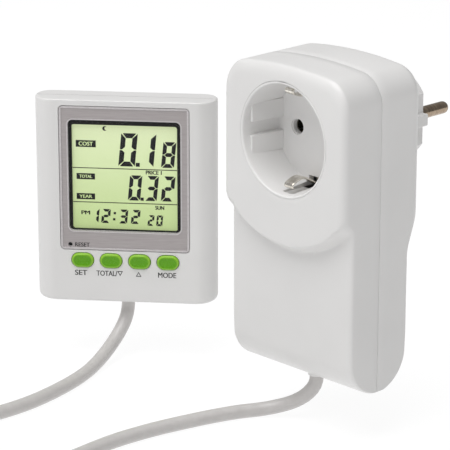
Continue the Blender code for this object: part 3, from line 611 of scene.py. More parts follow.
def frontSurface(x, z, inset):
    s = shellSet
    beyond = np.hypot(x, z) - s["bossR"]
    cone = s["faceY"] + beyond * (s["lowFaceY"] - s["faceY"]) / (s["bossFootR"] - s["bossR"])
    base = inset - smoothMax(-smoothMax(np.full_like(cone, s["faceY"]), cone, s["bossSoft"]),
                             np.full_like(cone, -s["lowFaceY"]), s["bossSoft"])
    base = smoothMax(base, s["roundY"] - bottomRound(z, inset), s["roundSoft"])
    part = np.clip(beyond / (s["bossFootR"] - s["bossR"]), 0.0, 1.0)
    radius = np.maximum(s["edge"] + (s["lowEdge"] - s["edge"]) * part - inset, 0.8)
    # along the top the rounding starts further in
    stretch = 1 + s["topStretch"] * np.clip((z - s["stretchZ"]) / s["stretchOver"], 0.0, 1.0)
    base = base + edgeRound((topDepth(x, z) - inset) / stretch, radius)
    return np.minimum(base, s["seamY"] - s["seamGap"] / 2)


def rearSurface(x, z, inset):
    s = shellSet
    ease = easeBetween(z, s["stepFoot"], s["stepTop"])
    base = s["lowRearY"] + (s["rearY"] - s["lowRearY"]) * ease - inset
    base = -smoothMax(-base, -s["roundY"] - bottomRound(z, inset), s["roundSoft"])
    radius = np.maximum(s["lowEdge"] + (s["rearEdge"] - s["lowEdge"]) * ease - inset, 0.8)
    base = base - edgeRound(topDepth(x, z) - inset, radius)
    return np.maximum(base, s["seamY"] + s["seamGap"] / 2)


def rayDirections(count):
    # rays that meet the outline at even steps along it
    turn = np.linspace(0, 2 * math.pi, 4001)
    dx, dz = np.cos(turn), np.sin(turn)
    reach = alongRay(dx, dz, 0.0)
    steps = np.hypot(np.diff(dx * reach), np.diff(dz * reach))
    walked = np.concatenate([[0.0], np.cumsum(steps)])
    spread = np.interp(np.linspace(0.0, walked[-1], count, endpoint=False), walked, turn)
    return np.cos(spread), np.sin(spread)


def makeShell(name, surface, holeR, toward):
    # toward is 1 for the front shell and -1 for the rear one: from the outer face to the seam
    s, k = shellSet, skinSet
    seam = s["seamY"] - toward * s["seamGap"] / 2
    dx, dz = rayDirections(k["rays"])
    rows = []

    def addRow(reach, y):
        rows.append(np.stack([dx * reach, np.broadcast_to(y, dx.shape), dz * reach], axis=1))

    def skinAt(reach, inset=0.0):
        return surface(dx * reach, dz * reach, inset)

    zone = alongRay(dx, dz, k["edgeZone"], k["zoneCorner"])
    outline = alongRay(dx, dz, 0.0)
    reaches = np.empty((k["faceRings"], len(dx)))
    for ray, far in enumerate(zone):
        spots = np.linspace(holeR, far, 160)
        weight = 1.0 + k["closer"] * np.exp(-((spots - k["closeAt"]) / k["closeOver"]) ** 2)
        total = np.concatenate([[0.0], np.cumsum((weight[1:] + weight[:-1]) / 2)])
        reaches[:, ray] = np.interp(np.linspace(0, total[-1], k["faceRings"]), total, spots)
    hole, lip = np.full(dx.shape, holeR), k["lip"]
    addRow(hole, skinAt(hole + lip) + toward * lip)
    addRow(hole + lip * 0.3, skinAt(hole + lip) + toward * lip * 0.3)
    reaches[0] += lip
    for reach in reaches:
        addRow(reach, skinAt(reach))
    for ring in range(1, k["edgeRings"] + 1):
        reach = outline - (outline - zone) * (1 - ring / k["edgeRings"]) ** 2
        addRow(reach, skinAt(reach))
    rim = skinAt(outline)
    # the wall runs to the lip's chamfer; where the round bottom is past that it stays put
    lipY = toward * np.maximum(toward * seam - lip, toward * rim)
    for ring in range(1, k["wallRings"] + 1):
        addRow(outline, rim + (lipY - rim) * ring / k["wallRings"])
    addRow(alongRay(dx, dz, lip * 0.3), (lipY + seam) / 2)
    addRow(alongRay(dx, dz, lip), seam)
    addRow(alongRay(dx, dz, s["wall"] * 0.5), seam)
    inner = alongRay(dx, dz, s["wall"] + 0.01)
    innerRim = skinAt(inner, s["wall"])
    for y in (seam, (seam + innerRim) / 2, innerRim):
        addRow(inner, y)
    for part in np.linspace(0, 1, k["backRings"] + 1)[1:]:
        deep = inner + (hole - inner) * part ** 1.6
        addRow(deep, skinAt(deep, s["wall"]))
    addRow(hole, (rows[-1][:, 1] + rows[0][:, 1]) / 2)
    return wrapGrid(name, rows + rows[:1], 32.0)


screwSet = {"places": ((-22.0, 18.0), (22.0, 18.0), (-22.0, -78.0), (22.0, -78.0)),
            "seats": (-34.0, -34.0, -35.5, -35.5), "postR": 4.3, "pegR": 3.2, "sinkR": 2.8,
            "boreR": 1.3, "headR": 2.4, "shankR": 1.0, "reach": 14.0, "exitR": 3.9}


def makeHousing():
    s, p = shellSet, screwSet
    front = makeShell("unitFrontShell", frontSurface, s["mouthR"], 1)
    rear = makeShell("unitRearShell", rearSurface, s["plugHoleR"], -1)
    for shell in (front, rear):
        cut(shell, drum("exit", (0, s["seamY"]), -100, -90, p["exitR"], "Z", 44))
    posts, bores, sinks, pegs, pilots = [], [], [], [], []
    for (x, z), seat in zip(p["places"], p["seats"]):
        rearWall = (s["rearY"] if z > 0 else s["lowRearY"]) - s["wall"] / 2
        frontWall = (s["faceY"] if z > 0 else s["lowFaceY"]) + s["wall"] / 2
        posts.append(drum("post", (x, z), s["seamY"] + 0.15, rearWall, p["postR"]))
        bores.append(drum("bore", (x, z), -45, seat + 0.3, p["boreR"]))
        sinks.append(drum("sink", (x, z), seat, 0, p["sinkR"]))
        pegs.append(drum("peg", (x, z), frontWall, s["seamY"] - 0.15, p["pegR"]))
        pilots.append(drum("pilot", (x, z), -51.5, -40, p["boreR"]))
    cut(cut(fuse(rear, *posts), *bores), *sinks)
    cut(fuse(front, *pegs), *pilots)
    for shell, node in ((front, "front_shell"), (rear, "rear_shell")):
        finishPiece(smooth(shell, 32.0), "white_abs", node)


makeHousing()
print("housing made")


def makeScrew(name, centre, seat, reach, headR, shankR, node, placement=None):
    # pan head with a cross recess, standing behind its seat
    head = seat + 0.3
    rise = headR * 0.7
    profile = [(0.0, seat - reach), (shankR * 0.5, seat - reach + 0.4),
               (shankR, seat - reach + 1.4), (shankR, head), (headR * 0.94, head),
               (headR, head + rise * 0.12), (headR, head + rise * 0.45),
               (headR * 0.88, head + rise * 0.8), (headR * 0.6, head + rise), (0.0, head + rise)]
    screw = spinProfile(name, profile, centre, steps=40, angle=40.0)
    low, arm, wide = head + rise * 0.35, headR * 0.62, headR * 0.18
    cross = [block("arm", (centre[0] - a, low, centre[1] - b), (centre[0] + a, 60, centre[1] + b))
             for a, b in ((arm, wide), (wide, arm))]
    settle(cut(screw, fuse(*cross)), placement)
    finishPiece(smooth(screw, 40.0), "zinc_steel", node)


for number, (centre, seat) in enumerate(zip(screwSet["places"], screwSet["seats"]), 1):
    makeScrew("unitScrew%d" % number, centre, seat, screwSet["reach"], screwSet["headR"],
              screwSet["shankR"], "housing_screw_%d" % number)


# Socket: profiles are (radius, y), and clip points (y, z) on the upper side.
socketSet = {"face": -60.4, "floor": -42.9, "back": -40.4, "rimR": 22.0, "mouthR": 21.0,
             "floorR": 19.8, "flangeR": 23.6, "barrelR": 21.6, "pinX": 9.5, "holeR": 2.75,
             "collarR": 3.15, "guideHalf": 9.8, "slotHalf": 2.75, "slotY": -46.0,
             "bedZ": 19.4, "bedHalf": 1.95,
             "clip": ((-56.2, 18.9), (-56.9, 18.2), (-56.3, 17.3), (-54.6, 16.5), (-52.6, 15.9),
                      (-50.6, 15.9), (-48.6, 16.7), (-46.4, 17.9), (-44.1, 19.3), (-42.4, 20.0),
                      (-40.9, 20.2), (-39.9, 19.6), (-39.7, 18.4))}


def makeSocket():
    s = socketSet
    face, floor, back, rimR, mouthR = (s[key] for key in
                                       ("face", "floor", "back", "rimR", "mouthR"))
    profile = [(0.0, back), (s["barrelR"], back), (s["barrelR"], face + 3.4),
               (s["flangeR"], face + 3.4), (s["flangeR"], face + 2.5), (rimR, face + 2.5),
               (rimR, face + 0.10), (rimR - 0.04, face + 0.03), (rimR - 0.20, face - 0.02),
               (rimR - 0.50, face + 0.02), (rimR - 0.72, face + 0.16), (rimR - 0.90, face + 0.45),
               (mouthR, face + 0.85), (mouthR - 0.06, face + 1.6)]
    for part in np.linspace(0.15, 0.97, 6):
        profile.append((mouthR - 0.06 + (s["floorR"] - mouthR + 0.06) * part,
                        face + 1.6 + (floor - face - 1.6) * part))
    profile += [(s["floorR"] - 0.12, floor - 0.15), (s["floorR"] - 0.4, floor), (0.0, floor)]
    well = spinProfile("socketWell", profile, steps=128)
    guides, tools, beds = [], [], []
    for side in (-1, 1):
        guide = np.array([(19.2, face + 2.6), (18.7, face + 3.0), (16.5, floor + 1.0),
                          (20.6, floor + 1.0), (20.7, face + 3.6)]) * (side, 1)
        for half in (-1, 1):
            ends = sorted((half * s["slotHalf"], half * s["guideHalf"]))
            rows = [np.insert(guide, 2, z, axis=1) for z in ends]
            guides.append(softenEdges(stack("guide", rows), 0.35, 3, 38.0))
        tools.append(spinProfile("pinTool", [
            (0, floor - 1), (s["collarR"], floor - 1), (s["collarR"], floor + 0.45),
            (s["holeR"], floor + 0.55), (s["holeR"], back + 1), (0, back + 1)],
            (side * s["pinX"], 0)))
        low, high = sorted((side * 17.4, side * 24.0))
        tools.append(block("clipSlot", (-3.1, s["slotY"], low), (3.1, back + 2, high)))
        z = side * s["bedZ"]
        beds.append(block("clipBed", (-2.9, face + 3.2, z - s["bedHalf"]),
                          (2.9, s["slotY"] + 1, z + s["bedHalf"])))
    # the shallow beds in front of the slots let the clips spring outwards
    cut(cut(fuse(well, *guides), *tools), *beds)
    softenEdges(well, 0.18, 2, 50.0)
    # the well takes the lighter copy of the white ABS: painted light
    finishPiece(well, "white_abs", "socket_well", mat=socketAbsPaintedLight)


def makeStrip(name, arm, spread, half, thick, node):
    # a bent strip with rounded edges; arm is (y, z) on one side, mirrored to the other
    path = ([(0, y, -z) for y, z in arm] + [(0, arm[-1][0], z) for z in (-spread, 0, spread)]
            + [(0, y, z) for y, z in reversed(arm)])
    line, _ = smoothLine(path, 0.4)
    run = np.gradient(line[:, 1:], axis=0)
    run /= np.linalg.norm(run, axis=1, keepdims=True)
    section = roundedBox((-half, -thick / 2), (half, thick / 2), thick * 0.45, 4)
    rows = []
    for k, (spot, (runY, runZ)) in enumerate(zip(line, run)):
        across = section * (0.8 if k in (0, len(line) - 1) else 1.0)
        rows.append(np.stack([across[:, 0], spot[1] - across[:, 1] * runZ,
                              spot[2] + across[:, 1] * runY], axis=1))
    finishPiece(stack(name, rows, 40.0), "nickel_brass", node)


makeSocket()
makeStrip("socketEarthClip", socketSet["clip"], 9, 2.25, 0.8, "socket_earth_strap")
print("socket made")


# Plug: two pins, two flats with ribs, and an earth strip bent round it.
plugSet = {"radius": 18.2, "flat": 15.3, "ribX": 17.8, "ribHalf": 2.3, "depth": 18.0,
           "edge": 1.2, "pinX": 9.5, "pinR": 2.4, "pinLength": 19.0, "pinFoot": -23.1,
           "strip": ((-2.6, 16.75), (-5.0, 17.25), (-9.0, 17.55), (-13.0, 17.35),
                     (-16.5, 16.95), (-21.6, 16.9), (-22.65, 16.3), (-22.65, 14.5))}


def plugOutline(inset):
    p = plugSet
    radius, flat, rib = p["radius"] - inset, p["flat"] - inset, p["ribX"] - inset
    half = p["ribHalf"] - inset * 0.5
    angle = math.degrees(math.acos(flat / radius))
    flatZ = math.sqrt(radius * radius - flat * flat)
    right = np.array([(flat, -flatZ * 0.6), (flat, -half - 0.3), (flat + 0.25, -half),
                      (rib - 0.3, -half), (rib, -half + 0.3), (rib, half - 0.3),
                      (rib - 0.3, half), (flat + 0.25, half), (flat, half + 0.3),
                      (flat, flatZ * 0.6)])
    return np.concatenate([right, arcPoints(0, 0, radius, angle, 180 - angle, 28), -right,
                           arcPoints(0, 0, radius, 180 + angle, 360 - angle, 28)])


def makePlug():
    p = plugSet
    rows = [atDepth(plugOutline(0.0), -p["depth"])]
    for turn in np.radians(np.linspace(0, 90, 7)):
        rows.append(atDepth(plugOutline(p["edge"] * (1 - math.cos(turn))),
                            -p["edge"] * (1 - math.sin(turn))))
    base = stack("plugBase", rows, 30.0)
    fuse(base, spinProfile("collar", [(0, -21.9), (20.5, -21.9), (20.5, -21.0), (18.6, -21.0),
                                      (18.6, -18.2), (18.4, -17.8), (0, -17.8)], steps=96))
    tools = []
    for side in (-1, 1):
        tools.append(drum("pinHole", (side * p["pinX"], 0), -23, 1, p["pinR"] + 0.3))
        low, high = sorted((side * 16.2, side * 24.0))
        tools.append(block("earthSlot", (-2.6, -23, low), (2.6, -1.9, high)))
    softenEdges(cut(base, *tools), 0.22, 2, 42.0)
    finishPiece(base, "white_abs", "plug_base")
    radius, foot, tip = p["pinR"], p["pinFoot"], p["pinLength"]
    dome = [(radius * math.cos(a), tip - radius + radius * math.sin(a))
            for a in np.radians(range(0, 90, 10))]
    profile = [(0.0, foot), (radius - 0.3, foot), (radius, foot + 0.3), (radius, 0.5),
               *dome, (0.0, tip)]
    for name, side, node in (("plugPinNeutral", -1, "neutral_pin"), ("plugPinLive", 1, "live_pin")):
        finishPiece(spinProfile(name, profile, (side * p["pinX"], 0)), "nickel_brass", node,
                    mat=nickelPlate)
    makeStrip("plugEarthStrip", p["strip"], 7, 2.0, 0.7, "plug_earth_strip")


def makeGland():
    # soft collar where the cord leaves the housing, with a flange inside the wall and a tapered end
    profile = [(3.1, -91.5), (4.6, -91.5), (4.6, -92.1), (3.55, -92.1), (3.55, -95.4),
               (3.30, -95.7), (3.30, -96.2), (3.25, -96.45), (3.15, -96.55), (3.0, -96.5)]
    gland = spinProfile("cordGland", profile + profile[:1], (0, shellSet["seamY"]), "Z", 64)
    finishPiece(gland, "white_abs", "cord_gland")


makePlug()
makeGland()
print("plug made")


# Display unit: modelled facing -Y at its own origin, then put in place.
displaySet = {
    "place": (-0.1015, -0.0480, -0.0491), "half": 36.75, "top": 42.2, "bottom": -42.4,
    "depth": 15.0, "seam": 7.6, "seamGap": 0.3, "wall": 1.9, "frontR": 8.0, "rearR": 6.0,
    "lowCorner": 2.3, "topCorner": 1.0, "lowSoft": 1.0, "topSoft": 0.55, "pegR": 2.6,
    "panel": ((-26.45, -20.6), (26.45, 39.8)), "panelR": 1.8, "recess": 0.9, "shrink": -0.28,
    "rimWide": 0.85, "window": ((-22.7, -12.5), (22.7, 33.9)), "windowR": 2.0,
    "view": ((-21.4, -12.0), (21.2, 31.7)), "keyPitch": 11.6, "keyZ": -24.8, "keyWide": 9.0,
    "keyTall": 6.0, "reset": (-22.4, -18.4), "resetR": 0.9, "exitR": 3.1, "boreR": 1.15,
    "screws": ((-30.0, 34.0), (30.0, 34.0), (-30.0, -34.0), (30.0, -34.0)),
}
displayPlacement = Matrix.Translation(displaySet["place"]) @ Matrix.Rotation(displayYaw, 4, "Z")


def onDisplay(piece, slotName, *nodes, **others):
    finishPiece(settle(piece, displayPlacement), slotName, *nodes, **others)


def caseLevel(z, inset, sideIn, faceIn):
    # the case's plan at one height, drawn in at its sides and at its faces
    d = displaySet
    half = d["half"] - inset - sideIn
    front, rear = inset + faceIn, d["depth"] - inset - faceIn
    frontR, rearR = (max(d[key] - inset - (sideIn + faceIn) * 0.45, 1.0)
                     for key in ("frontR", "rearR"))
    plan = np.concatenate([arcPoints(half - frontR, front + frontR, frontR, -90, 0, 12),
                           arcPoints(half - rearR, rear - rearR, rearR, 0, 90, 10),
                           arcPoints(rearR - half, rear - rearR, rearR, 90, 180, 10),
                           arcPoints(frontR - half, front + frontR, frontR, 180, 270, 12)])
    return np.insert(plan, 2, z, axis=1)


def caseBody(name, inset):
    d = displaySet

    def endRows(end, sign, corner, soft):
        corner, soft = max(corner - inset * 0.5, 0.4), max(soft - inset * 0.5, 0.3)
        out = []
        for part in (0.0, 0.012, 0.05, 0.11, 0.2, 0.31, 0.45, 0.62, 0.8, 1.0):
            rise = corner * part
            out.append(caseLevel(end + sign * rise, inset, edgeRound(rise, corner),
                                 edgeRound(min(rise, soft), soft)))
        return out

    low = endRows(d["bottom"] + inset, 1, d["lowCorner"], d["lowSoft"])
    high = endRows(d["top"] - inset, -1, d["topCorner"], d["topSoft"])
    return stack(name, low + high[::-1], 30.0)


def halfCase(name, seam, low, high):
    # the hollow case, less what lies between two depths
    case = cut(caseBody(name, 0.0), caseBody("room", displaySet["wall"]))
    return cut(case, block("split", (-50, low, -60), (50, high, 60)))


def boxPlate(name, corners, radius, yLow, yHigh, grow=0.0):
    outline = roundedBox(np.subtract(corners[0], grow), np.add(corners[1], grow), radius + grow)
    return plate(name, outline, yLow, yHigh)


def keyX(index):
    return (index - 1.5) * displaySet["keyPitch"]


def resetHole():
    return drum("resetHole", displaySet["reset"], -1, 4, displaySet["resetR"])


def cordExit():
    return drum("exit", (0, displaySet["seam"]), -45, -39, displaySet["exitR"], "Z")


def makeFrontCase():
    d = displaySet
    seam = d["seam"] - d["seamGap"] / 2
    case = halfCase("displayFrontCase", seam, seam, 30)
    fuse(case, *[drum("peg", spot, d["wall"] / 2, seam, d["pegR"]) for spot in d["screws"]])
    cut(case, boxPlate("recess", d["panel"], d["panelR"], -2, d["recess"]))
    keyHoles = [plate("keyHole", stadium(keyX(index), d["keyZ"], d["keyWide"] + 0.5,
                                         d["keyTall"] + 0.5), -2, 4) for index in range(4)]
    cut(case, resetHole(), cordExit(), *keyHoles,
        *[drum("pilot", spot, 3, 9, d["boreR"]) for spot in d["screws"]])
    cut(case, boxPlate("opening", d["window"], d["windowR"], -1, 4))
    onDisplay(softenEdges(case, 0.30, 3), "white_abs", "display_front_case")


rearSet = {
    "pads": (((-15.5, 11.7, -41.0), (15.5, 14.1, -4.7)), ((-17.2, 11.7, -4.8), (17.2, 14.1, 23.5)),
             ((-17.2, 10.3, 23.0), (17.2, 14.1, 30.5))),
    # the door's seat, the port to the cell, the stand's seat and its knuckle's seat
    "seats": (((-13.3, 13.0, -50.0), (13.3, 20.0, -6.6)),
              ((-11.5, 10.0, -30.0), (11.5, 20.0, -7.2)),
              ((-14.3, 12.9, -3.2), (14.3, 20.0, 26.5)),
              ((-14.3, 11.7, 24.5), (14.3, 20.0, 28.3))),
    "hinge": (13.5, 26.5), "hingeR": 0.9, "pinHalf": 16.2, "postR": 3.4, "postTop": 14.0,
    "sinkR": 2.3, "seat": 10.4, "screw": (6.8, 1.9, 0.85),      # reach, head and shank radius
}


def makeRearCase():
    d, r = displaySet, rearSet
    seam = d["seam"] + d["seamGap"] / 2
    case = halfCase("displayRearCase", seam, -30, seam)
    for pad in r["pads"]:
        fuse(case, block("pad", *pad))
    fuse(case, *[drum("post", spot, seam, r["postTop"], r["postR"]) for spot in d["screws"]])
    # rounded first: the seats are cut clean so nothing stands in the way of the moving pieces
    softenEdges(case, 0.25)
    for seat in r["seats"]:
        cut(case, block("seat", *seat))
    cut(case, drum("pinSeat", r["hinge"], -r["pinHalf"], r["pinHalf"], r["hingeR"], "X"),
        cordExit(), *[drum("bore", spot, 6, r["seat"] + 0.2, d["boreR"]) for spot in d["screws"]])
    cut(case, *[drum("sink", spot, r["seat"], 20, r["sinkR"]) for spot in d["screws"]])
    evenNormals(case)
    onDisplay(case, "white_abs", "display_rear_case")


def makePanel():
    # the foil lies a step below a narrow polished rim, with a fine bead round the window
    d = displaySet
    panel = boxPlate("greyPanel", d["panel"], d["panelR"], 0.30, d["recess"] - 0.22, d["shrink"])
    cut(panel, resetHole())
    cut(panel, boxPlate("opening", d["window"], d["windowR"], -1, 4))
    onDisplay(softenEdges(panel, 0.12), "grey_panel", "bezel_panel")
    # the rim and the bead below take the lighter grey: painted highlight
    rim = boxPlate("panelRim", d["panel"], d["panelR"], 0.02, 0.29, d["shrink"])
    cut(rim, boxPlate("opening", d["panel"], d["panelR"] - 0.4, -1, 4,
                      d["shrink"] - d["rimWide"]))
    onDisplay(softenEdges(rim, 0.11, 3), "grey_panel", mat=rimPaintedHighlight)
    bead = boxPlate("windowBead", d["window"], d["windowR"], 0.16, 0.29, 0.55)
    cut(bead, boxPlate("opening", d["window"], d["windowR"], -1, 4))
    onDisplay(softenEdges(bead, 0.06), "grey_panel", mat=rimPaintedHighlight)


def makeWindow():
    d = displaySet
    pane = boxPlate("windowPane", d["window"], d["windowR"], 0.35, 1.5, -0.3)
    onDisplay(softenEdges(pane, 0.20), "clear_window", "lcd_window")
    gasket = boxPlate("windowGasket", d["window"], d["windowR"], 1.55, 2.6, -0.05)
    cut(gasket, boxPlate("view", d["view"], 1.0, 0, 4))
    onDisplay(softenEdges(gasket, 0.15), "black_plastic", "lcd_gasket", mat=gasketFoam)
    glass = block("lcdGlass", (-22.2, 2.9, -12.8), (22.2, 5.3, 33.2))
    onDisplay(softenEdges(glass, 0.15), "lcd_glass", "lcd_glass")


makeFrontCase()
makeRearCase()
makePanel()
makeWindow()
print("display case made")


keySet = {
    "keys": (("setKey", "set_button", "set_key"), ("totalKey", "total_button", "total_key"),
             ("upKey", "up_button", "up_key"), ("modeKey", "mode_button", "mode_key")),
    # depth and inset of each level: skirt behind the wall, wide round rim, slightly dished face
    "levels": ((3.0, -0.8), (2.2, -0.8), (2.2, 0.0), (0.0, 0.0), (-0.35, 0.06), (-0.62, 0.20),
               (-0.82, 0.42), (-0.93, 0.68), (-0.97, 0.90), (-0.95, 1.10), (-0.88, 1.35),
               (-0.83, 1.7), (-0.81, 2.2)),
    "stemR": 1.4, "stem": (2.8, 3.5), "rimIn": 1.0, "rimOver": 0.55,
}


def makeKey(x, name, node, body):
    k, z = keySet, displaySet["keyZ"]
    wide, tall = displaySet["keyWide"], displaySet["keyTall"]
    key = stack(name, [atDepth(stadium(x, z, wide - 2 * inset, tall - 2 * inset), y)
                       for y, inset in k["levels"]])
    smooth(fuse(key, drum("stem", (x, z), *k["stem"], k["stemR"])), 50.0)
    # painted glow: the thin rim is painted lighter for the light it lets through, 1 at the rim, 0
    # in the middle
    spots = pointsOf(key) / mm
    away = np.hypot(np.maximum(np.abs(spots[:, 0] - x) - (wide - tall) / 2, 0), spots[:, 2] - z)
    paintedGlowData = key.data.attributes.new("rimPaintedGlow", "FLOAT", "POINT")
    paintedGlowData.data.foreach_set(
        "value", np.clip((away - (tall / 2 - k["rimIn"])) / k["rimOver"], 0, 1))
    onDisplay(key, "green_button", node, body=body)


for index, names in enumerate(keySet["keys"]):
    makeKey(keyX(index), *names)


# The readout's marks lie on the glass, behind the case front and shifted a little from it.
markSet = {"barY": 2.84, "tagWordY": 2.78, "labelY": -0.03, "foilY": 0.27, "thick": 0.05,
           "shift": (-0.2, -0.9), "lean": 0.10}
digitBars = {"0": "abcdef", "1": "bc", "2": "abged", "3": "abgcd", "8": "abcdefg"}


def shiftAt(y):
    return markSet["shift"] if y > 1.0 else (0.0, 0.0)


def raiseInk(piece, weld=False):
    # flat shapes get the ink's thickness
    steps = [lambda: bpy.ops.mesh.remove_doubles(threshold=0.0001 * mm)] if weld else []
    editAll(piece, *steps, lambda: bpy.ops.mesh.extrude_region_move(
        TRANSFORM_OT_translate={"value": (0, markSet["thick"] * mm, 0)}),
        bpy.ops.mesh.normals_make_consistent)
    return piece


def inkShapes(name, outlines, y, mat):
    points, faces = [], []
    dx, dz = shiftAt(y)
    for outline in outlines:
        faces.append(list(range(len(points), len(points) + len(outline))))
        points += [((x + dx) * mm, y * mm, (z + dz) * mm) for x, z in outline]
    mesh = bpy.data.meshes.new(name)
    mesh.from_pydata(points, [], faces)
    onDisplay(raiseInk(linked(name, mesh)), "black_plastic", mat=mat)


def inkText(words, x0, x1, z0, z1, y):
    # text set to fill a box, turned into a mesh that faces -Y
    deselect()
    bpy.ops.object.text_add()
    data = bpy.context.object.data
    data.body = words
    data.size, data.extrude, data.resolution_u = 1.0, 0.0, 4
    bpy.ops.object.convert(target="MESH")
    text = bpy.context.object
    spots = pointsOf(text)[:, :2]
    low, high = spots.min(axis=0), spots.max(axis=0)
    corner = np.add((x0, z0), shiftAt(y))
    setPoints(text, atDepth(corner + (spots - low) / (high - low) * (x1 - x0, z1 - z0), y))
    return raiseInk(text, weld=True)


def boldText(words, x0, x1, z0, z1, y, heavy):
    # two prints side by side thicken the strokes
    return [inkText(words, x0 + shift, x1 + shift, z0, z1, y) for shift in (-heavy, heavy)]


def finishText(name, texts, mat=None, slotName="black_plastic"):
    piece = joined(texts)
    piece.name = name
    onDisplay(piece, slotName, mat=mat)


def segmentShapes(lit, x, z, w, h, s):
    # the lit bars of one digit: a top, b c right, d bottom, e f left, g middle
    mid, gap, tip, nick = h / 2, s * 0.09, s * 0.45, s * 0.42
    right = [(w, h - gap), (w, mid + gap), (w - tip, mid + gap), (w - s, mid + s * 0.5 + gap),
             (w - s, h - s - gap)]
    top = [(nick * 0.6 + gap, h - nick * 0.15), (nick + gap, h), (w - nick - gap, h),
           (w - nick * 0.6 - gap, h - nick * 0.15), (w - s - gap, h - s), (s + gap, h - s)]
    bars = {
        "a": top, "b": right, "c": [(px, h - pz) for px, pz in right],
        "d": [(px, h - pz) for px, pz in top], "e": [(w - px, h - pz) for px, pz in right],
        "f": [(w - px, pz) for px, pz in right],
        "g": [(s * 0.5 + gap, mid), (s + gap, mid + s * 0.5), (w - s - gap, mid + s * 0.5),
              (w - s * 0.5 - gap, mid), (w - s - gap, mid - s * 0.5), (s + gap, mid - s * 0.5)],
    }
    return [[(x + px + pz * markSet["lean"], z + pz) for px, pz in bars[key]] for key in lit]


def boxShape(x0, z0, x1, z1):
    return [(x0, z0), (x1, z0), (x1, z1), (x0, z1)]


def makeReadout():
    shapes = []
    # each row of digits: height of its foot, size, stroke, then the digits and their places
    for z, w, h, s, digits in (
            (15.3, 6.7, 13.8, 2.0, (("0", -2.6), ("1", 4.9))),
            (15.2, 5.2, 10.7, 1.60, (("8", 14.7),)),
            (1.1, 5.0, 10.5, 1.55, (("0", 1.1), ("3", 7.8), ("2", 14.5))),
            (-8.8, 3.5, 5.9, 1.05, (("1", -14.5), ("2", -9.9), ("3", -2.8), ("2", 2.2))),
            (-9.4, 2.5, 4.5, 0.85, (("2", 9.0), ("0", 12.5)))):
        for digit, x in digits:
            shapes += segmentShapes(digitBars[digit], x, z, w, h, s)
    for x, z, dot in ((4.5, 15.3, 1.6), (6.3, 1.1, 1.3), (-5.0, -7.6, 0.95), (-4.7, -5.0, 0.95)):
        shapes.append(boxShape(x, z, x + dot, z + dot))
    for z in (14.2, -0.15):
        shapes.append(boxShape(-21.15, z - 0.16, 21.15, z + 0.16))
    # crescent: four-sided strips between an outer and a shifted inner arc
    outer, inner = (arcPoints(x, 30.8, radius, 65, 295, 12)
                    for x, radius in ((-7.9, 0.95), (-7.3, 0.72)))
    shapes += [[outer[k], outer[k + 1], inner[k + 1], inner[k]] for k in range(12)]
    y = markSet["barY"]
    inkShapes("liquidCrystalBars", shapes, y, segmentInk)
    tags = (("COST", -19.7, 22.9, -11.6, 25.7), ("TOTAL", -19.6, 9.4, -12.1, 11.9),
            ("YEAR", -19.7, 1.0, -12.2, 3.5))
    inkShapes("liquidCrystalTags", [boxShape(*corners) for _, *corners in tags], y, segmentInk)
    letters = []
    for words, x0, z0, x1, z1 in tags:
        letters += boldText(words, x0 + 1.2, x1 - 1.2, z0 + 0.6, z1 - 0.6, markSet["tagWordY"],
                            0.05)
    finishText("liquidCrystalTagText", letters, slotName="lcd_glass")
    finishText("liquidCrystalWords",
               boldText("PRICE 1", 8.6, 14.9, 12.2, 13.8, y, 0.09)
               + boldText("SUN", 12.3, 15.8, -2.5, -0.9, y, 0.09)
               + boldText("PM", -17.8, -14.4, -5.4, -3.8, y, 0.11), segmentInk)


def makeLabels():
    y, low, high = markSet["labelY"], -31.3, -29.1
    words = []
    for label, x0, x1 in (("SET", -20.6, -15.7), ("TOTAL/", -11.8, -3.4), ("MODE", 13.4, 20.7)):
        words += boldText(label, x0, x1, low, high, y, 0.06)
    for name, x, tip, base in (("labelDown", -2.15, -31.2, -29.1), ("labelUp", 5.4, -29.1, -31.2)):
        # hollow triangles: an outer and an inner ring bridged by four-sided strips
        outer = np.array([(x - 1.15, base), (x + 1.15, base), (x, tip)])
        inner = outer + (np.array((x, base + (tip - base) / 3)) - outer) * 0.42
        strips = [[outer[k], outer[k - 2], inner[k - 2], inner[k]] for k in range(3)]
        inkShapes(name, strips, y, blackInk)
    finishText("keyLabels", words, blackInk)
    finishText("resetLabel", boldText("RESET", -20.4, -14.5, -19.2, -17.5, markSet["foilY"], 0.05),
               blackInk)


makeReadout()
makeLabels()
print("keys and readout made")


doorSet = {"leaf": ((-13.0, 13.3, -42.0), (13.0, 14.9, -6.9)), "grips": 4, "gripPitch": 2.2,
           "grip": ((-5.0, 14.5, -38.0), (5.0, 15.4, -37.1)), "edge": 0.28}
standSet = {"half": 14.0, "knuckleR": 1.4, "leaf": ((-14.0, 13.2, -2.9), (14.0, 14.9, 26.5)),
            "relief": ((-7.0, 11.0, 4.0), (7.0, 17.0, 18.0)), "edge": 0.28}


def makeDoor():
    (x0, y0, z0), (x1, y1, z1) = doorSet["grip"]
    rises = [k * doorSet["gripPitch"] for k in range(doorSet["grips"])]
    door = fuse(block("batteryDoor", *doorSet["leaf"]),
                *[block("grip", (x0, y0, z0 + rise), (x1, y1, z1 + rise)) for rise in rises])
    onDisplay(softenEdges(door, doorSet["edge"], 3), "white_abs", "battery_door",
              body="battery_hatch")


def makeStand():
    s, r = standSet, rearSet
    stand = drum("foldOutStand", r["hinge"], -s["half"], s["half"], s["knuckleR"], "X")
    fuse(stand, block("leaf", *s["leaf"]))
    cut(stand, block("relief", *s["relief"]))
    cut(stand, drum("eye", r["hinge"], -20, 20, r["hingeR"], "X"))
    onDisplay(softenEdges(stand, s["edge"], 3), "white_abs", "fold_out_stand",
              body="rear_stand")


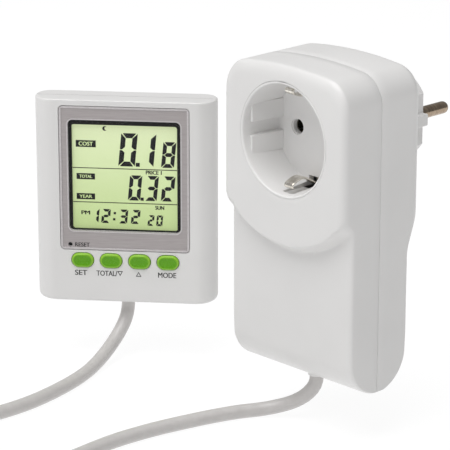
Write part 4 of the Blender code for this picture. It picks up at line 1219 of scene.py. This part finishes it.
makeDoor()
makeStand()
for number, spot in enumerate(displaySet["screws"], 1):
    makeScrew("caseScrew%d" % number, spot, rearSet["seat"], *rearSet["screw"],
              "case_screw_%d" % number, displayPlacement)
print("rear fittings made")


stageSet = {"floor": -0.11585, "span": 8.0, "floorHex": "6A6A6A", "floorGlow": 0.90,
            "worldStrength": 0.36, "litSide": 1.15, "dimSide": 0.50}
# name, place, aim, size in metres, power
lampSet = (("keyLight", (0.05, -1.30, 0.40), (-0.04, -0.05, -0.02), 0.5, 0.7),
           ("topLight", (0.0, -0.45, 1.15), (-0.04, -0.05, 0.0), 1.3, 15.8))


def makeStage():
    deselect()
    bpy.ops.mesh.primitive_plane_add(size=stageSet["span"], location=(0, 0, stageSet["floor"]))
    floor = bpy.context.object
    floor.name = "paleFloor"
    paper = newMaterial("paleSweepPaper", stageSet["floorHex"], 0.9)
    setShader(paper, {"Specular IOR Level": 0.0, "Emission Color": toLinear("FFFFFF"),
                      "Emission Strength": stageSet["floorGlow"]})
    floor.data.materials.append(paper)


def makeRoom():
    # white light from all round, a little less from the +X side
    world = bpy.data.worlds.new("softRoom")
    world.use_nodes = True
    where = addNode(world, "ShaderNodeTexCoord")
    split = addNode(world, "ShaderNodeSeparateXYZ", links={"Vector": where.outputs["Generated"]})
    side = addNode(world, "ShaderNodeMapRange",
                   {"From Min": -1.0, "To Min": stageSet["litSide"], "To Max": stageSet["dimSide"]},
                   {"Value": split.outputs["X"]})
    power = addNode(world, "ShaderNodeMath",
                    {"operation": "MULTIPLY", 1: stageSet["worldStrength"]},
                    {0: side.outputs["Result"]})
    ground = world.node_tree.nodes["Background"]
    ground.inputs["Color"].default_value = toLinear("FFFFFF")
    world.node_tree.links.new(power.outputs["Value"], ground.inputs["Strength"])
    bpy.context.scene.world = world
    bpy.context.scene.view_settings.view_transform = "Standard"


def softLight(name, place, aim, size, power):
    bpy.ops.object.light_add(type="AREA", location=place,
                             rotation=facingTo(Vector(aim) - Vector(place)))
    lamp = bpy.context.object
    lamp.name = name
    lamp.data.shape = "DISK"
    lamp.data.size = size
    lamp.data.energy = power


makeStage()
makeRoom()
for lamp in lampSet:
    softLight(*lamp)
print("stage lit")
